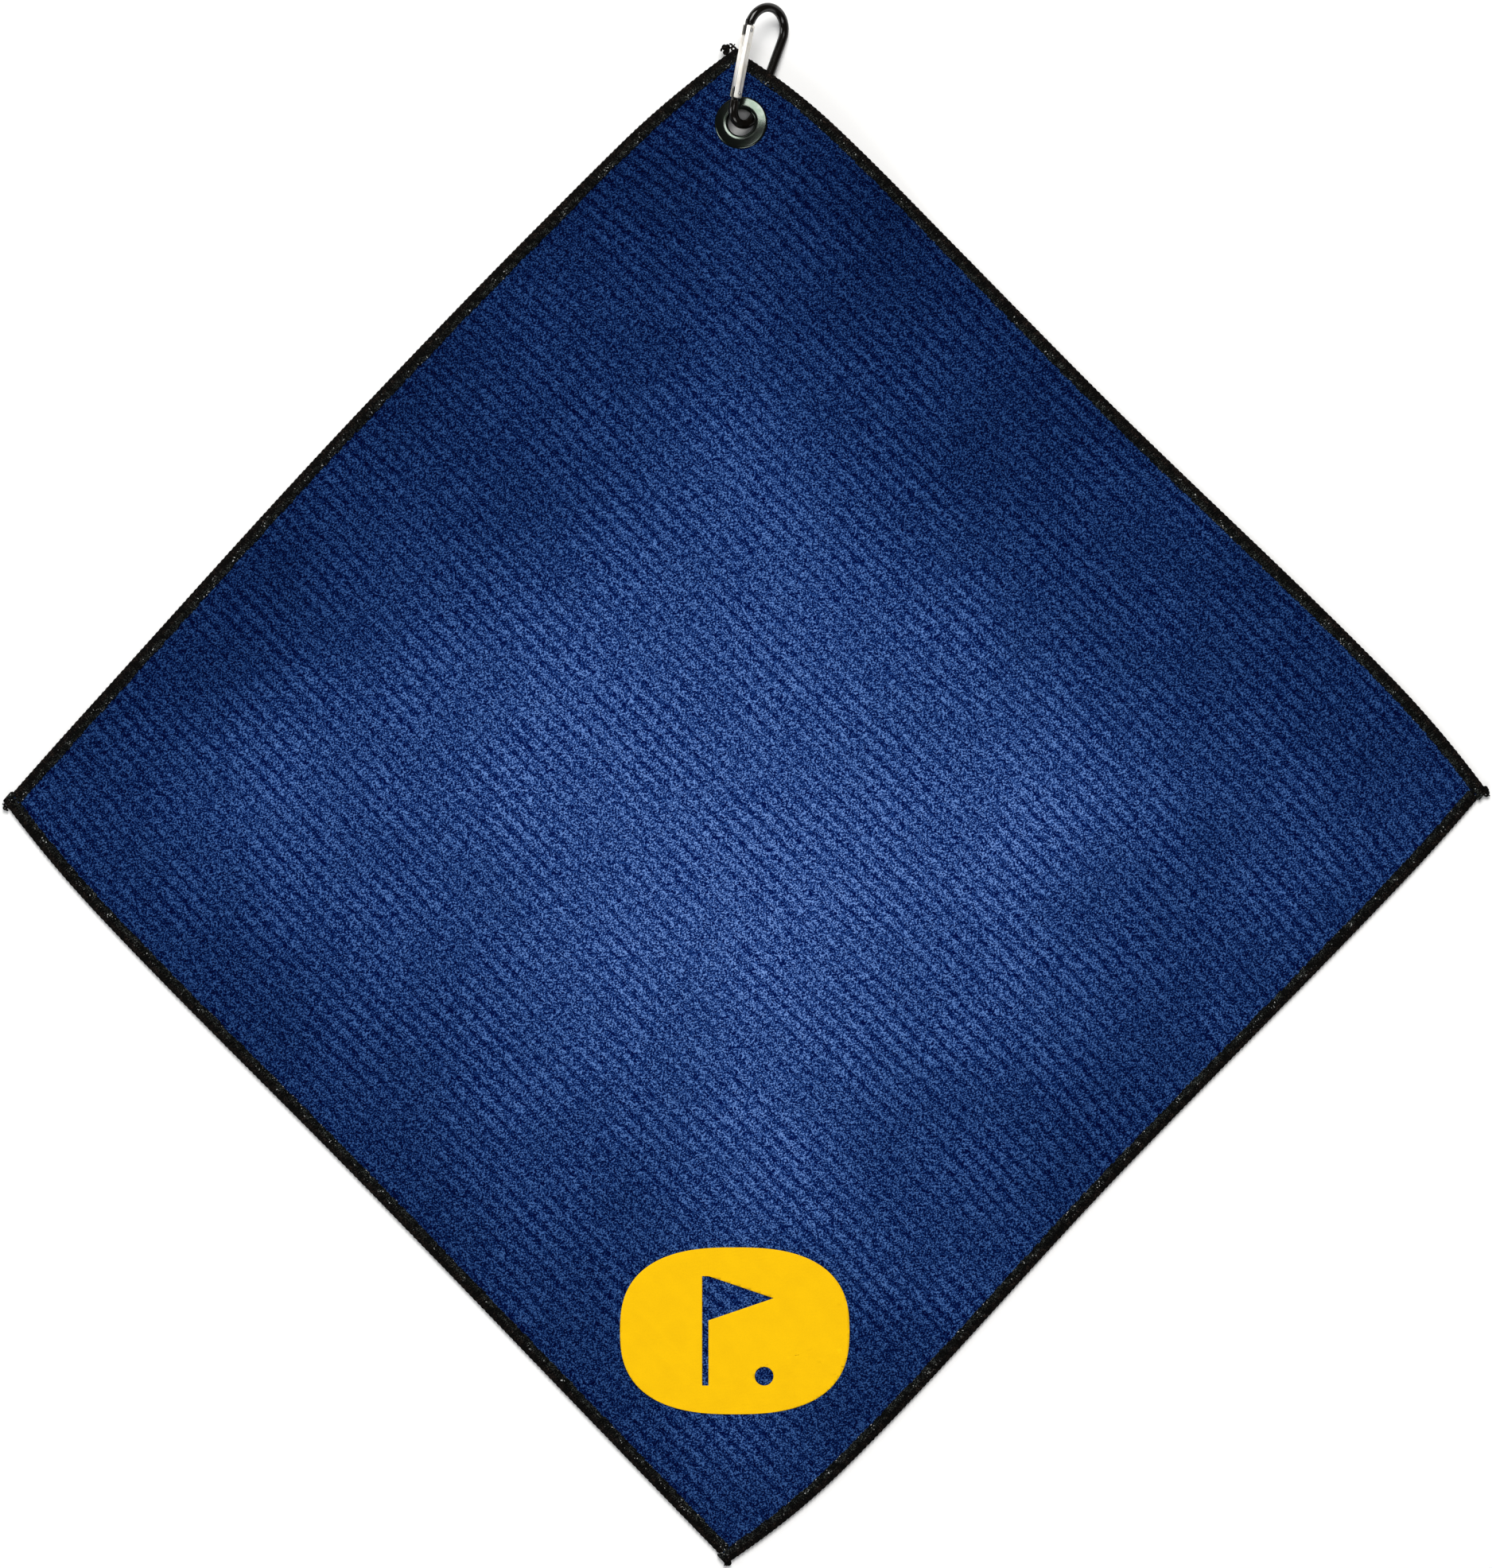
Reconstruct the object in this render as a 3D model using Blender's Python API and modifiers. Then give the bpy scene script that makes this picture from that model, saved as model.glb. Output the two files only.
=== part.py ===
"""Golf towel: a square waffle cloth laid flat on one corner's diagonal, with a sewn thread hem on each
side, a printed badge near the bottom corner, an eyelet near the top corner and a small spring-gate
carabiner clipped through the eyelet.

Metres, +Z up. The cloth lies on z = 0 and the origin is the centre of the whole object's footprint.
The carabiner lies half under the top corner, so the cloth is propped up there.
"""

import math

import bmesh
import bpy
from mathutils import Matrix, Vector

MM = 0.001
CLEARANCE = 0.3 * MM  # between pieces that touch
SMALL_CLEARANCE = 0.2 * MM  # between the thin stamped pieces of the eyelet

# Cloth, measured along its sides. Length runs from the top corner to the right one.
CLOTH_LENGTH = 406 * MM
CLOTH_WIDTH = 406 * MM
CLOTH_THICKNESS = 1.8 * MM
PRESSED_THICKNESS = 1.0 * MM  # under the hem and under the eyelet
PRESSED_RAMP = 1.5 * MM  # from pressed to full thickness, beside the hem

# How far each corner lies from the corner of a true square.
TOP_CORNER_SHIFT = Vector((-4.0, 3.0)) * MM
RIGHT_CORNER_SHIFT = Vector((-2.6, 6.4)) * MM
BOTTOM_CORNER_SHIFT = Vector((-6.4, -3.5)) * MM
LEFT_CORNER_SHIFT = Vector((3.1, 1.2)) * MM

# How far each side bows out of the line between its corners: near its start, half-way, near its end.
# Sides run clockwise, as the hem was sewn.
UPPER_RIGHT_BOW = (5.9 * MM, 4.5 * MM, 5.2 * MM)
LOWER_RIGHT_BOW = (2.4 * MM, 3.1 * MM, 6.8 * MM)
LOWER_LEFT_BOW = (0.4 * MM, 1.4 * MM, 3.7 * MM)
UPPER_LEFT_BOW = (2.1 * MM, 6.8 * MM, 5.9 * MM)
BOW_PLACES = (0.0, 0.12, 0.5, 0.86, 1.0)  # shares of a side where a bow is given, ends included

# Sewn hem
HEM_WIDTH = 5.4 * MM
HEM_WALL = 0.4 * MM
HEM_THICKNESS = PRESSED_THICKNESS + 2 * (CLEARANCE + HEM_WALL)
HEM_FIRST_STEP = 1.0 * MM  # least length of the first stretch of a run
THREAD_TAIL = 1.4 * MM  # a run of hem is sewn this far past its last corner

# Eyelet
HOLE_FROM_CORNER = Vector((2.8, -28.7)) * MM
EYELET_BORE_RADIUS = 5.1 * MM
EYELET_FLANGE_RADIUS = EYELET_BORE_RADIUS + 5.1 * MM
EYELET_LIP_RADIUS = EYELET_BORE_RADIUS + 2.2 * MM
EYELET_WALL = 0.6 * MM
EYELET_DOME = 0.9 * MM
EYELET_LIP_HEIGHT = 0.45 * MM
FLANGE_EDGE = 0.1 * MM  # bevel under the flange's rim
WASHER_THICKNESS = 0.4 * MM

# Propped corner, as a plane around the eyelet that fades into the flat cloth
PROP_SLOPE_ALONG = -0.095
PROP_SLOPE_ACROSS = 0.18
PROP_PLANE_REACH = EYELET_FLANGE_RADIUS + 0.8 * MM
PROP_ROUNDING = 2.0 * MM
PROP_CENTRE_ALONG = 12.0 * MM
PROP_FLAT_RADIUS = 28.0 * MM
PROP_FADE_RADIUS = 98.0 * MM

# Printed badge
BADGE_WIDTH = 88 * MM
BADGE_HEIGHT = 64 * MM
BADGE_THICKNESS = 0.3 * MM
BADGE_FROM_CORNER = Vector((2.7, 89.1)) * MM
BADGE_SQUARENESS = 2.6  # 2 is an ellipse, and more is squarer
FLAG_POLE_WIDTH = 2.4 * MM
FLAG_POLE_HEIGHT = 42 * MM
FLAG_LENGTH = 25 * MM
FLAG_DROP = 17 * MM
BALL_RADIUS = 3.6 * MM

# Carabiner: two bends, a narrow one in the eyelet and a wide one, joined by straight arms
CARABINER_LENGTH = 49.6 * MM
CARABINER_WIDTH = 22.0 * MM
NARROW_BEND_WIDTH = 15.2 * MM
ROD_RADIUS = 0.353 * EYELET_BORE_RADIUS  # so that the bend turns freely in the eyelet
CARABINER_LEAN = math.radians(15.3)  # from the cloth's upward diagonal, to the right
CARABINER_ROLL = math.radians(43.0)  # the spine is under the cloth and the gate above it
BEND_IN_HOLE = Vector((-0.04, -0.08)) * EYELET_BORE_RADIUS  # middle of the narrow bend from the axis
BEND_ABOVE_SEAT = 0.22 * MM  # and from the middle of the cloth there
FLOOR_CLEARANCE = 0.05 * MM

# Gate, measured along its own axis
GATE_RADIUS = ROD_RADIUS + 0.4 * MM
HINGE_ABOVE_BEND = 5.6 * MM  # hinge pin beyond the start of the gate's arm
LATCH_BELOW_BEND = 0.8 * MM  # latch pin short of the end of the gate's arm
GATE_END = 1.9 * MM  # metal beyond each pin
SHOULDER_GAP = 0.6 * MM  # from the gate's upper end to the rod
HINGE_ROD_GAP = 1.1 * MM  # from its lower end to the rod, which it turns over
GATE_SLOT_WIDTH = 2.0 * MM
GATE_END_ROUNDING = 0.5 * MM
TONGUE_THICKNESS = GATE_SLOT_WIDTH - 2 * CLEARANCE
TONGUE_HALF_WIDTH = 1.5 * MM
TONGUE_CAM = 1.2 * MM  # the flat that the plunger bears on, from the hinge pin
TONGUE_ROOT = 1.5 * MM  # how far the tongue and the nose run into the rod
NOSE_WIDTH = 3.0 * MM
NOSE_LIP = 1.0 * MM
HINGE_PIN_RADIUS = 0.6 * MM
LATCH_PIN_RADIUS = 0.6 * MM
PIN_PROUD = 0.15 * MM  # each pin's rounded ends stand out of the gate this far
PIN_DOME = 0.25 * MM
SPRING_BORE_RADIUS = 1.2 * MM
SPRING_BORE_DEPTH = 13.0 * MM
SPRING_WIRE_RADIUS = 0.16 * MM
SPRING_RADIUS = SPRING_BORE_RADIUS - SPRING_WIRE_RADIUS - CLEARANCE  # to the middle of the wire
SPRING_TURNS = 9
PLUNGER_RADIUS = SPRING_BORE_RADIUS - CLEARANCE
PLUNGER_LENGTH = 3.2 * MM
PLUNGER_TRAVEL = 0.46 * MM  # as the gate opens fully

# Mesh fineness
FINE_STEP = 3.5 * MM  # between the cloth's grid lines near the top corner
FINE_REACH = 48 * MM
COARSE_STEP = 34 * MM
STEP_GROWTH = 1.28
HEM_FOLD_STEPS = 6
FLANGE_DOME_STEPS = 10
NARROW_BEND_STEPS = 14
WIDE_BEND_STEPS = 20
BADGE_OUTLINE_STEPS = 48
SPRING_TURN_STEPS = 10
ROUND_SIDES = 32
SMALL_ROUND_SIDES = 16
CUTTER_REACH = 5.0 * MM  # cutters run this far out of what they cut
SEAT_RADIUS = EYELET_FLANGE_RADIUS + 1.5 * FINE_STEP  # the cloth is pressed out to here

NAVY_CLOTH = ("navy_cloth", (0.016, 0.062, 0.19), 0.9, 0.0)
BLACK_THREAD = ("black_thread", (0.012, 0.012, 0.013), 0.6, 0.0)
YELLOW_PRINT = ("yellow_print", (0.90, 0.55, 0.005), 0.6, 0.0)
BLACK_NICKEL = ("black_nickel", (0.06, 0.065, 0.06), 0.2, 1.0)
BLACK_ANODISED = ("black_anodised", (0.012, 0.012, 0.013), 0.3, 0.6)
BRIGHT_ALUMINIUM = ("bright_aluminium", (0.78, 0.78, 0.79), 0.25, 1.0)
SPRING_STEEL = ("spring_steel", (0.55, 0.55, 0.56), 0.3, 1.0)

DOWN_RIGHT = Vector((1, -1)).normalized()
UP_RIGHT = Vector((1, 1)).normalized()
ALONG = Vector((math.sin(CARABINER_LEAN), math.cos(CARABINER_LEAN)))
ACROSS = Vector((math.cos(CARABINER_LEAN), -math.sin(CARABINER_LEAN)))

TOP_CORNER = (UP_RIGHT * CLOTH_WIDTH - DOWN_RIGHT * CLOTH_LENGTH) / 2 + TOP_CORNER_SHIFT
RIGHT_CORNER = (UP_RIGHT * CLOTH_WIDTH + DOWN_RIGHT * CLOTH_LENGTH) / 2 + RIGHT_CORNER_SHIFT
BOTTOM_CORNER = (DOWN_RIGHT * CLOTH_LENGTH - UP_RIGHT * CLOTH_WIDTH) / 2 + BOTTOM_CORNER_SHIFT
LEFT_CORNER = (-DOWN_RIGHT * CLOTH_LENGTH - UP_RIGHT * CLOTH_WIDTH) / 2 + LEFT_CORNER_SHIFT
HOLE = TOP_CORNER + HOLE_FROM_CORNER
CLOTH_EDGE = HEM_WALL + 2 * CLEARANCE  # from the hem's outer edge to the cloth's own edge
CLOTH_MIDDLE = CLOTH_THICKNESS / 2
HEM_MIDDLE = HEM_THICKNESS / 2

# The carabiner's own frame has its origin in the middle of the narrow bend, X towards the spine and
# Y towards the wide bend.
NARROW_BEND_RADIUS = NARROW_BEND_WIDTH / 2 - ROD_RADIUS
WIDE_BEND_RADIUS = CARABINER_WIDTH / 2 - ROD_RADIUS
WIDE_BEND_CENTRE = CARABINER_LENGTH - 2 * ROD_RADIUS - WIDE_BEND_RADIUS
BEND_SPREAD = WIDE_BEND_CENTRE - NARROW_BEND_RADIUS
ARM_ANGLE = math.asin((WIDE_BEND_RADIUS - NARROW_BEND_RADIUS) / BEND_SPREAD)
GATE_PIN_DISTANCE = BEND_SPREAD * math.cos(ARM_ANGLE) - HINGE_ABOVE_BEND - LATCH_BELOW_BEND
BEND_HEIGHT = WIDE_BEND_RADIUS * math.sin(CARABINER_ROLL) + ROD_RADIUS + FLOOR_CLEARANCE
PROP_HEIGHT = BEND_HEIGHT - CLOTH_MIDDLE - BEND_ABOVE_SEAT

parts = None
cutters = None


def smooth_step(value):
    value = min(max(value, 0.0), 1.0)
    return value * value * (3 - 2 * value)


def bow(heights, share):
    """A side's bow at this share of its length, on one smooth curve that is nothing at both ends."""
    share = min(max(share, 0.0), 1.0)
    values = (0.0, *heights, 0.0)
    slopes = [0.0] * len(values)
    for i in range(1, len(values) - 1):
        slopes[i] = (values[i + 1] - values[i - 1]) / (BOW_PLACES[i + 1] - BOW_PLACES[i - 1])
    slopes[0] = 2 * (values[1] - values[0]) / (BOW_PLACES[1] - BOW_PLACES[0]) - slopes[1]
    slopes[-1] = 2 * (values[-1] - values[-2]) / (BOW_PLACES[-1] - BOW_PLACES[-2]) - slopes[-2]
    i = 0
    while share > BOW_PLACES[i + 1]:
        i += 1
    gap = BOW_PLACES[i + 1] - BOW_PLACES[i]
    t = (share - BOW_PLACES[i]) / gap
    start = (2 * t**3 - 3 * t**2 + 1) * values[i] + (t**3 - 2 * t**2 + t) * gap * slopes[i]
    return start + (3 * t**2 - 2 * t**3) * values[i + 1] + (t**3 - t**2) * gap * slopes[i + 1]


def outline_point(from_upper_left, from_upper_right):
    """The flat place of a point given by its distances from the two upper sides."""
    u = from_upper_left / CLOTH_LENGTH
    v = from_upper_right / CLOTH_WIDTH
    upper = TOP_CORNER.lerp(RIGHT_CORNER, u)
    lower = LEFT_CORNER.lerp(BOTTOM_CORNER, u)
    point = upper.lerp(lower, v)
    point += UP_RIGHT * (bow(UPPER_RIGHT_BOW, u) * (1 - v) - bow(LOWER_LEFT_BOW, 1 - u) * v)
    point += DOWN_RIGHT * (bow(LOWER_RIGHT_BOW, v) * u - bow(UPPER_LEFT_BOW, 1 - v) * (1 - u))
    return point


def levelled(distance):
    """The distance itself up to the plane's reach, then rounding off to a constant."""
    beyond = abs(distance) - PROP_PLANE_REACH
    if beyond <= 0:
        return distance
    rounded = PROP_PLANE_REACH + PROP_ROUNDING * (1 - math.exp(-beyond / PROP_ROUNDING))
    return math.copysign(rounded, distance)


def prop(point):
    """How high the carabiner props the cloth up at this flat place."""
    offset = point - HOLE
    along = offset.dot(ALONG)
    rise = PROP_SLOPE_ALONG * max(along, levelled(along))
    rise += PROP_SLOPE_ACROSS * levelled(offset.dot(ACROSS))
    reach = (offset - ALONG * PROP_CENTRE_ALONG).length
    fade = smooth_step((PROP_FADE_RADIUS - reach) / (PROP_FADE_RADIUS - PROP_FLAT_RADIUS))
    return max(PROP_HEIGHT + rise, 0.0) * fade


def grid_offsets(length):
    """Distances of the cloth's grid lines from an upper side: fine by that side, then coarser."""
    band = HEM_WIDTH + CLEARANCE
    ends = (CLOTH_EDGE, band, band + PRESSED_RAMP)
    offsets = list(ends)
    last = length - ends[-1]
    step = FINE_STEP
    while offsets[-1] + 1.5 * step < last:
        offsets.append(offsets[-1] + step)
        if offsets[-1] > FINE_REACH:
            step = min(step * STEP_GROWTH, COARSE_STEP)
    offsets.extend(length - end for end in reversed(ends))
    return offsets


def make_material(name, colour, roughness, metallic):
    material = bpy.data.materials.get(name)
    if material:
        return material
    material = bpy.data.materials.new(name)
    material.use_nodes = True
    shader = material.node_tree.nodes["Principled BSDF"]
    shader.inputs["Base Color"].default_value = (*colour, 1)
    shader.inputs["Roughness"].default_value = roughness
    shader.inputs["Metallic"].default_value = metallic
    material.diffuse_color = (*colour, 1)
    return material


def add_part(name, mesh, finish, parent, round_piece=False):
    piece = bpy.data.objects.new(name, mesh)
    parts.objects.link(piece)
    piece.parent = parent
    mesh.materials.clear()
    mesh.materials.append(make_material(*finish))
    if round_piece:
        mesh.shade_smooth()
        mesh.set_sharp_from_angle(angle=math.radians(40))
    return piece


def add_cutter(name, mesh, parent, matrix=None):
    cutter = bpy.data.objects.new(name, mesh)
    cutters.objects.link(cutter)
    cutter.parent = parent
    if matrix:
        cutter.matrix_local = matrix
    cutter.hide_render = True
    cutter.display_type = "WIRE"
    return cutter


def add_boolean(piece, cutter, operation="DIFFERENCE"):
    modifier = piece.modifiers.new(cutter.name, "BOOLEAN")
    modifier.operation = operation
    modifier.object = cutter
    modifier.solver = "EXACT"


def add_empty(name, parent, matrix):
    empty = bpy.data.objects.new(name, None)
    parts.objects.link(empty)
    empty.parent = parent
    empty.matrix_local = matrix
    return empty


def finish_mesh(name, bm):
    mesh = bpy.data.meshes.new(name)
    bmesh.ops.recalc_face_normals(bm, faces=bm.faces)
    bm.to_mesh(mesh)
    bm.free()
    return mesh


def cylinder_mesh(name, radius, start, end, sides=SMALL_ROUND_SIDES, axis="Z"):
    """A cylinder about an axis of its frame, from start to end along it."""
    bm = bmesh.new()
    bmesh.ops.create_cone(
        bm, cap_ends=True, segments=sides, radius1=radius, radius2=radius, depth=end - start
    )
    bmesh.ops.translate(bm, verts=bm.verts, vec=(0, 0, (start + end) / 2))
    if axis == "Y":
        bmesh.ops.rotate(bm, verts=bm.verts, matrix=Matrix.Rotation(-math.pi / 2, 3, "X"))
    return finish_mesh(name, bm)


def box_mesh(name, low, high):
    bm = bmesh.new()
    bmesh.ops.create_cube(bm, size=1)
    size = Vector(high) - Vector(low)
    bmesh.ops.scale(bm, verts=bm.verts, vec=size)
    bmesh.ops.translate(bm, verts=bm.verts, vec=(Vector(low) + Vector(high)) / 2)
    return finish_mesh(name, bm)


def turned_part(name, profile, finish, parent, sides=ROUND_SIDES):
    """A closed profile of (radius, height) points, turned about Z."""
    bm = bmesh.new()
    points = [bm.verts.new((radius, 0, height)) for radius, height in profile]
    for first, second in zip(points, points[1:] + points[:1]):
        bm.edges.new((first, second))
    mesh = bpy.data.meshes.new(name)
    bm.to_mesh(mesh)
    bm.free()
    piece = add_part(name, mesh, finish, parent)
    turn = piece.modifiers.new("turn", "SCREW")
    turn.steps = sides
    turn.render_steps = sides
    turn.use_merge_vertices = True
    turn.merge_threshold = 0.01 * MM
    turn.use_smooth_shade = True
    return piece


def curve_mesh(name, curve):
    """A closed mesh of a curve, with its caps welded on."""
    holder = bpy.data.objects.new(name, curve)
    parts.objects.link(holder)
    bpy.context.view_layer.update()
    mesh = bpy.data.meshes.new_from_object(holder.evaluated_get(bpy.context.evaluated_depsgraph_get()))
    bpy.data.objects.remove(holder)
    bpy.data.curves.remove(curve)
    bm = bmesh.new()
    bm.from_mesh(mesh)
    bmesh.ops.remove_doubles(bm, verts=bm.verts, dist=0.001 * MM)
    bmesh.ops.recalc_face_normals(bm, faces=bm.faces)
    bm.to_mesh(mesh)
    bm.free()
    mesh.name = name
    return mesh


def rod_mesh(name, points, radius, bevel_resolution):
    curve = bpy.data.curves.new(name, "CURVE")
    curve.dimensions = "3D"
    curve.bevel_depth = radius
    curve.bevel_resolution = bevel_resolution
    curve.use_fill_caps = True
    spline = curve.splines.new("POLY")
    spline.points.add(len(points) - 1)
    for place, point in zip(spline.points, points):
        place.co = (*point, 1)
    return curve_mesh(name, curve)


def make_cloth(frame):
    """The waffle cloth: one sheet, pressed thinner where the hem and the eyelet hold it."""
    columns = grid_offsets(CLOTH_LENGTH)
    rows = grid_offsets(CLOTH_WIDTH)
    bm = bmesh.new()
    bmesh.ops.create_grid(bm, x_segments=len(columns) - 1, y_segments=len(rows) - 1, size=1)
    pressed = []
    for index, vert in enumerate(bm.verts):
        column = columns[round((vert.co.x + 1) / 2 * (len(columns) - 1))]
        row = rows[round((1 - vert.co.y) / 2 * (len(rows) - 1))]
        point = outline_point(column, row)
        edge = min(column, row, CLOTH_LENGTH - column, CLOTH_WIDTH - row)
        in_hem = edge < HEM_WIDTH + 1.5 * CLEARANCE
        middle = HEM_MIDDLE if in_hem else CLOTH_MIDDLE
        vert.co = (*point, middle + prop(point))
        if in_hem or (point - HOLE).length < SEAT_RADIUS:
            pressed.append(index)
    cloth = add_part("towel_cloth", finish_mesh("towel_cloth", bm), NAVY_CLOTH, frame)
    group = cloth.vertex_groups.new(name="full_thickness")
    group.add(list(range(len(cloth.data.vertices))), 1.0, "REPLACE")
    group.add(pressed, PRESSED_THICKNESS / CLOTH_THICKNESS, "REPLACE")
    thickness = cloth.modifiers.new("thickness", "SOLIDIFY")
    thickness.thickness = CLOTH_THICKNESS
    thickness.offset = 0
    thickness.vertex_group = group.name
    return cloth


def hem_profile():
    """Half-way through the hem's wall: (distance from its outer edge, height), bottom lip to top lip."""
    half_height = (HEM_THICKNESS - HEM_WALL) / 2
    profile = [(HEM_WIDTH, -half_height)]
    for step in range(HEM_FOLD_STEPS + 1):
        angle = math.pi * step / HEM_FOLD_STEPS - math.pi / 2
        inset = HEM_WALL / 2 + half_height * (1 - math.cos(angle))
        profile.append((inset, half_height * math.sin(angle)))
    profile.append((HEM_WIDTH, half_height))
    return profile


def make_hem(name, frame, length, place):
    """One sewn run, folded round its side of the cloth. It starts clear of the run before it and is sewn
    off past its last corner. place(distance along, distance in) gives the flat point."""
    start = HEM_WIDTH + CLEARANCE
    end = length + THREAD_TAIL
    offsets = grid_offsets(length)
    if name in ("hem_lower_left", "hem_upper_left"):
        offsets = [length - offset for offset in reversed(offsets)]
    inner = [offset for offset in offsets if start + HEM_FIRST_STEP < offset < length - CLOTH_EDGE]
    stations = [start, *inner, end]
    profile = hem_profile()
    bm = bmesh.new()
    bmesh.ops.create_grid(bm, x_segments=len(stations) - 1, y_segments=len(profile) - 1, size=1)
    for vert in bm.verts:
        station = stations[round((vert.co.x + 1) / 2 * (len(stations) - 1))]
        inset, height = profile[round((vert.co.y + 1) / 2 * (len(profile) - 1))]
        point = place(station, inset)
        vert.co = (*point, HEM_MIDDLE + height + prop(point))
    hem = add_part(name, finish_mesh(name, bm), BLACK_THREAD, frame, round_piece=True)
    wall = hem.modifiers.new("wall", "SOLIDIFY")
    wall.thickness = HEM_WALL
    wall.offset = 0
    return hem


def make_hems(frame):
    length, width = CLOTH_LENGTH, CLOTH_WIDTH
    make_hem("hem_upper_right", frame, length, lambda run, inset: outline_point(run, inset))
    make_hem("hem_lower_right", frame, width, lambda run, inset: outline_point(length - inset, run))
    make_hem("hem_lower_left", frame, length, lambda run, inset: outline_point(length - run, width - inset))
    make_hem("hem_upper_left", frame, width, lambda run, inset: outline_point(inset, width - run))


def eyelet_frame():
    """Origin in the middle of the cloth at the eyelet, Z square to the propped cloth."""
    slope = ALONG * PROP_SLOPE_ALONG + ACROSS * PROP_SLOPE_ACROSS
    normal = Vector((-slope.x, -slope.y, 1)).normalized()
    turn = Vector((0, 0, 1)).rotation_difference(normal).to_matrix().to_4x4()
    return Matrix.Translation((*HOLE, CLOTH_MIDDLE + PROP_HEIGHT)) @ turn


def make_eyelet(frame, cloth):
    seat = add_empty("eyelet_seat", frame, eyelet_frame())
    barrel = EYELET_BORE_RADIUS + EYELET_WALL
    half_cloth = PRESSED_THICKNESS / 2
    under_flange = half_cloth + SMALL_CLEARANCE
    washer_top = -half_cloth - SMALL_CLEARANCE
    lip_top = washer_top - WASHER_THICKNESS - SMALL_CLEARANCE
    lip_bottom = lip_top - EYELET_LIP_HEIGHT
    middle = (EYELET_BORE_RADIUS + EYELET_FLANGE_RADIUS) / 2
    half_width = (EYELET_FLANGE_RADIUS - EYELET_BORE_RADIUS) / 2
    dome = []
    for step in range(FLANGE_DOME_STEPS + 1):
        angle = math.pi * step / FLANGE_DOME_STEPS
        dome.append((middle - half_width * math.cos(angle), under_flange + EYELET_DOME * math.sin(angle)))
    profile = dome[:-1]
    profile.append((EYELET_FLANGE_RADIUS, under_flange + FLANGE_EDGE))
    profile.append((EYELET_FLANGE_RADIUS - FLANGE_EDGE, under_flange))
    profile.append((barrel, under_flange))
    profile.append((barrel, lip_top))
    profile.append((EYELET_LIP_RADIUS, lip_top))
    profile.append((EYELET_LIP_RADIUS, lip_top - EYELET_LIP_HEIGHT / 3))
    profile.append((EYELET_LIP_RADIUS - EYELET_WALL, lip_bottom))
    profile.append((barrel, lip_bottom))
    profile.append((EYELET_BORE_RADIUS, lip_top))
    turned_part("eyelet", profile, BLACK_NICKEL, seat)
    inner = barrel + CLEARANCE
    outer = EYELET_FLANGE_RADIUS
    washer = [
        (inner, washer_top),
        (outer, washer_top),
        (outer, washer_top - WASHER_THICKNESS / 2),
        (outer - WASHER_THICKNESS, washer_top - WASHER_THICKNESS),
        (inner, washer_top - WASHER_THICKNESS),
    ]
    turned_part("eyelet_washer", washer, BLACK_NICKEL, seat)
    hole = cylinder_mesh("eyelet_hole", inner, -CUTTER_REACH, CUTTER_REACH, ROUND_SIDES)
    add_boolean(cloth, add_cutter("eyelet_hole", hole, seat))


def rounded_outline(width, height, power, count):
    """Points of a squarish ellipse."""
    points = []
    for step in range(count):
        angle = 2 * math.pi * step / count
        x = math.copysign(abs(math.cos(angle)) ** (2 / power), math.cos(angle))
        y = math.copysign(abs(math.sin(angle)) ** (2 / power), math.sin(angle))
        points.append((x * width / 2, y * height / 2))
    return points


def flag_outline():
    """A pole with a pointed flag, its foot at half a pole height below the middle."""
    left = -FLAG_LENGTH / 2
    right = left + FLAG_POLE_WIDTH
    foot = -FLAG_POLE_HEIGHT / 2
    head = FLAG_POLE_HEIGHT / 2
    tip = (right + FLAG_LENGTH, head - FLAG_DROP / 2)
    return [(left, foot), (right, foot), (right, head - FLAG_DROP), tip, (right, head), (left, head)]


def ball_outline():
    centre = Vector((FLAG_LENGTH * 0.45, BALL_RADIUS - FLAG_POLE_HEIGHT / 2))
    points = []
    for step in range(SMALL_ROUND_SIDES):
        angle = 2 * math.pi * step / SMALL_ROUND_SIDES
        points.append(centre + Vector((math.cos(angle), math.sin(angle))) * BALL_RADIUS)
    return points


def make_badge(frame):
    """A printed oval badge with a flag and a ball left open in it."""
    curve = bpy.data.curves.new("printed_badge", "CURVE")
    curve.dimensions = "2D"
    curve.fill_mode = "BOTH"
    curve.extrude = BADGE_THICKNESS / 2
    for outline in (
        rounded_outline(BADGE_WIDTH, BADGE_HEIGHT, BADGE_SQUARENESS, BADGE_OUTLINE_STEPS),
        flag_outline(),
        ball_outline(),
    ):
        spline = curve.splines.new("POLY")
        spline.points.add(len(outline) - 1)
        spline.use_cyclic_u = True
        for place, point in zip(spline.points, outline):
            place.co = (*point, 0, 1)
    badge = add_part("printed_badge", curve_mesh("printed_badge", curve), YELLOW_PRINT, frame)
    height = CLOTH_THICKNESS + CLEARANCE + BADGE_THICKNESS / 2
    badge.location = (*(BOTTOM_CORNER + BADGE_FROM_CORNER), height)


def arm_start(side):
    """Where the narrow bend meets the arm on this side: +1 is the spine's and -1 the gate's."""
    return Vector((
        side * NARROW_BEND_RADIUS * math.cos(ARM_ANGLE),
        NARROW_BEND_RADIUS * (1 - math.sin(ARM_ANGLE)),
    ))


def arm_direction(side):
    return Vector((side * math.sin(ARM_ANGLE), math.cos(ARM_ANGLE)))


def hinge_place():
    return arm_start(-1) + arm_direction(-1) * HINGE_ABOVE_BEND


def latch_place():
    return hinge_place() + arm_direction(-1) * GATE_PIN_DISTANCE


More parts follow.
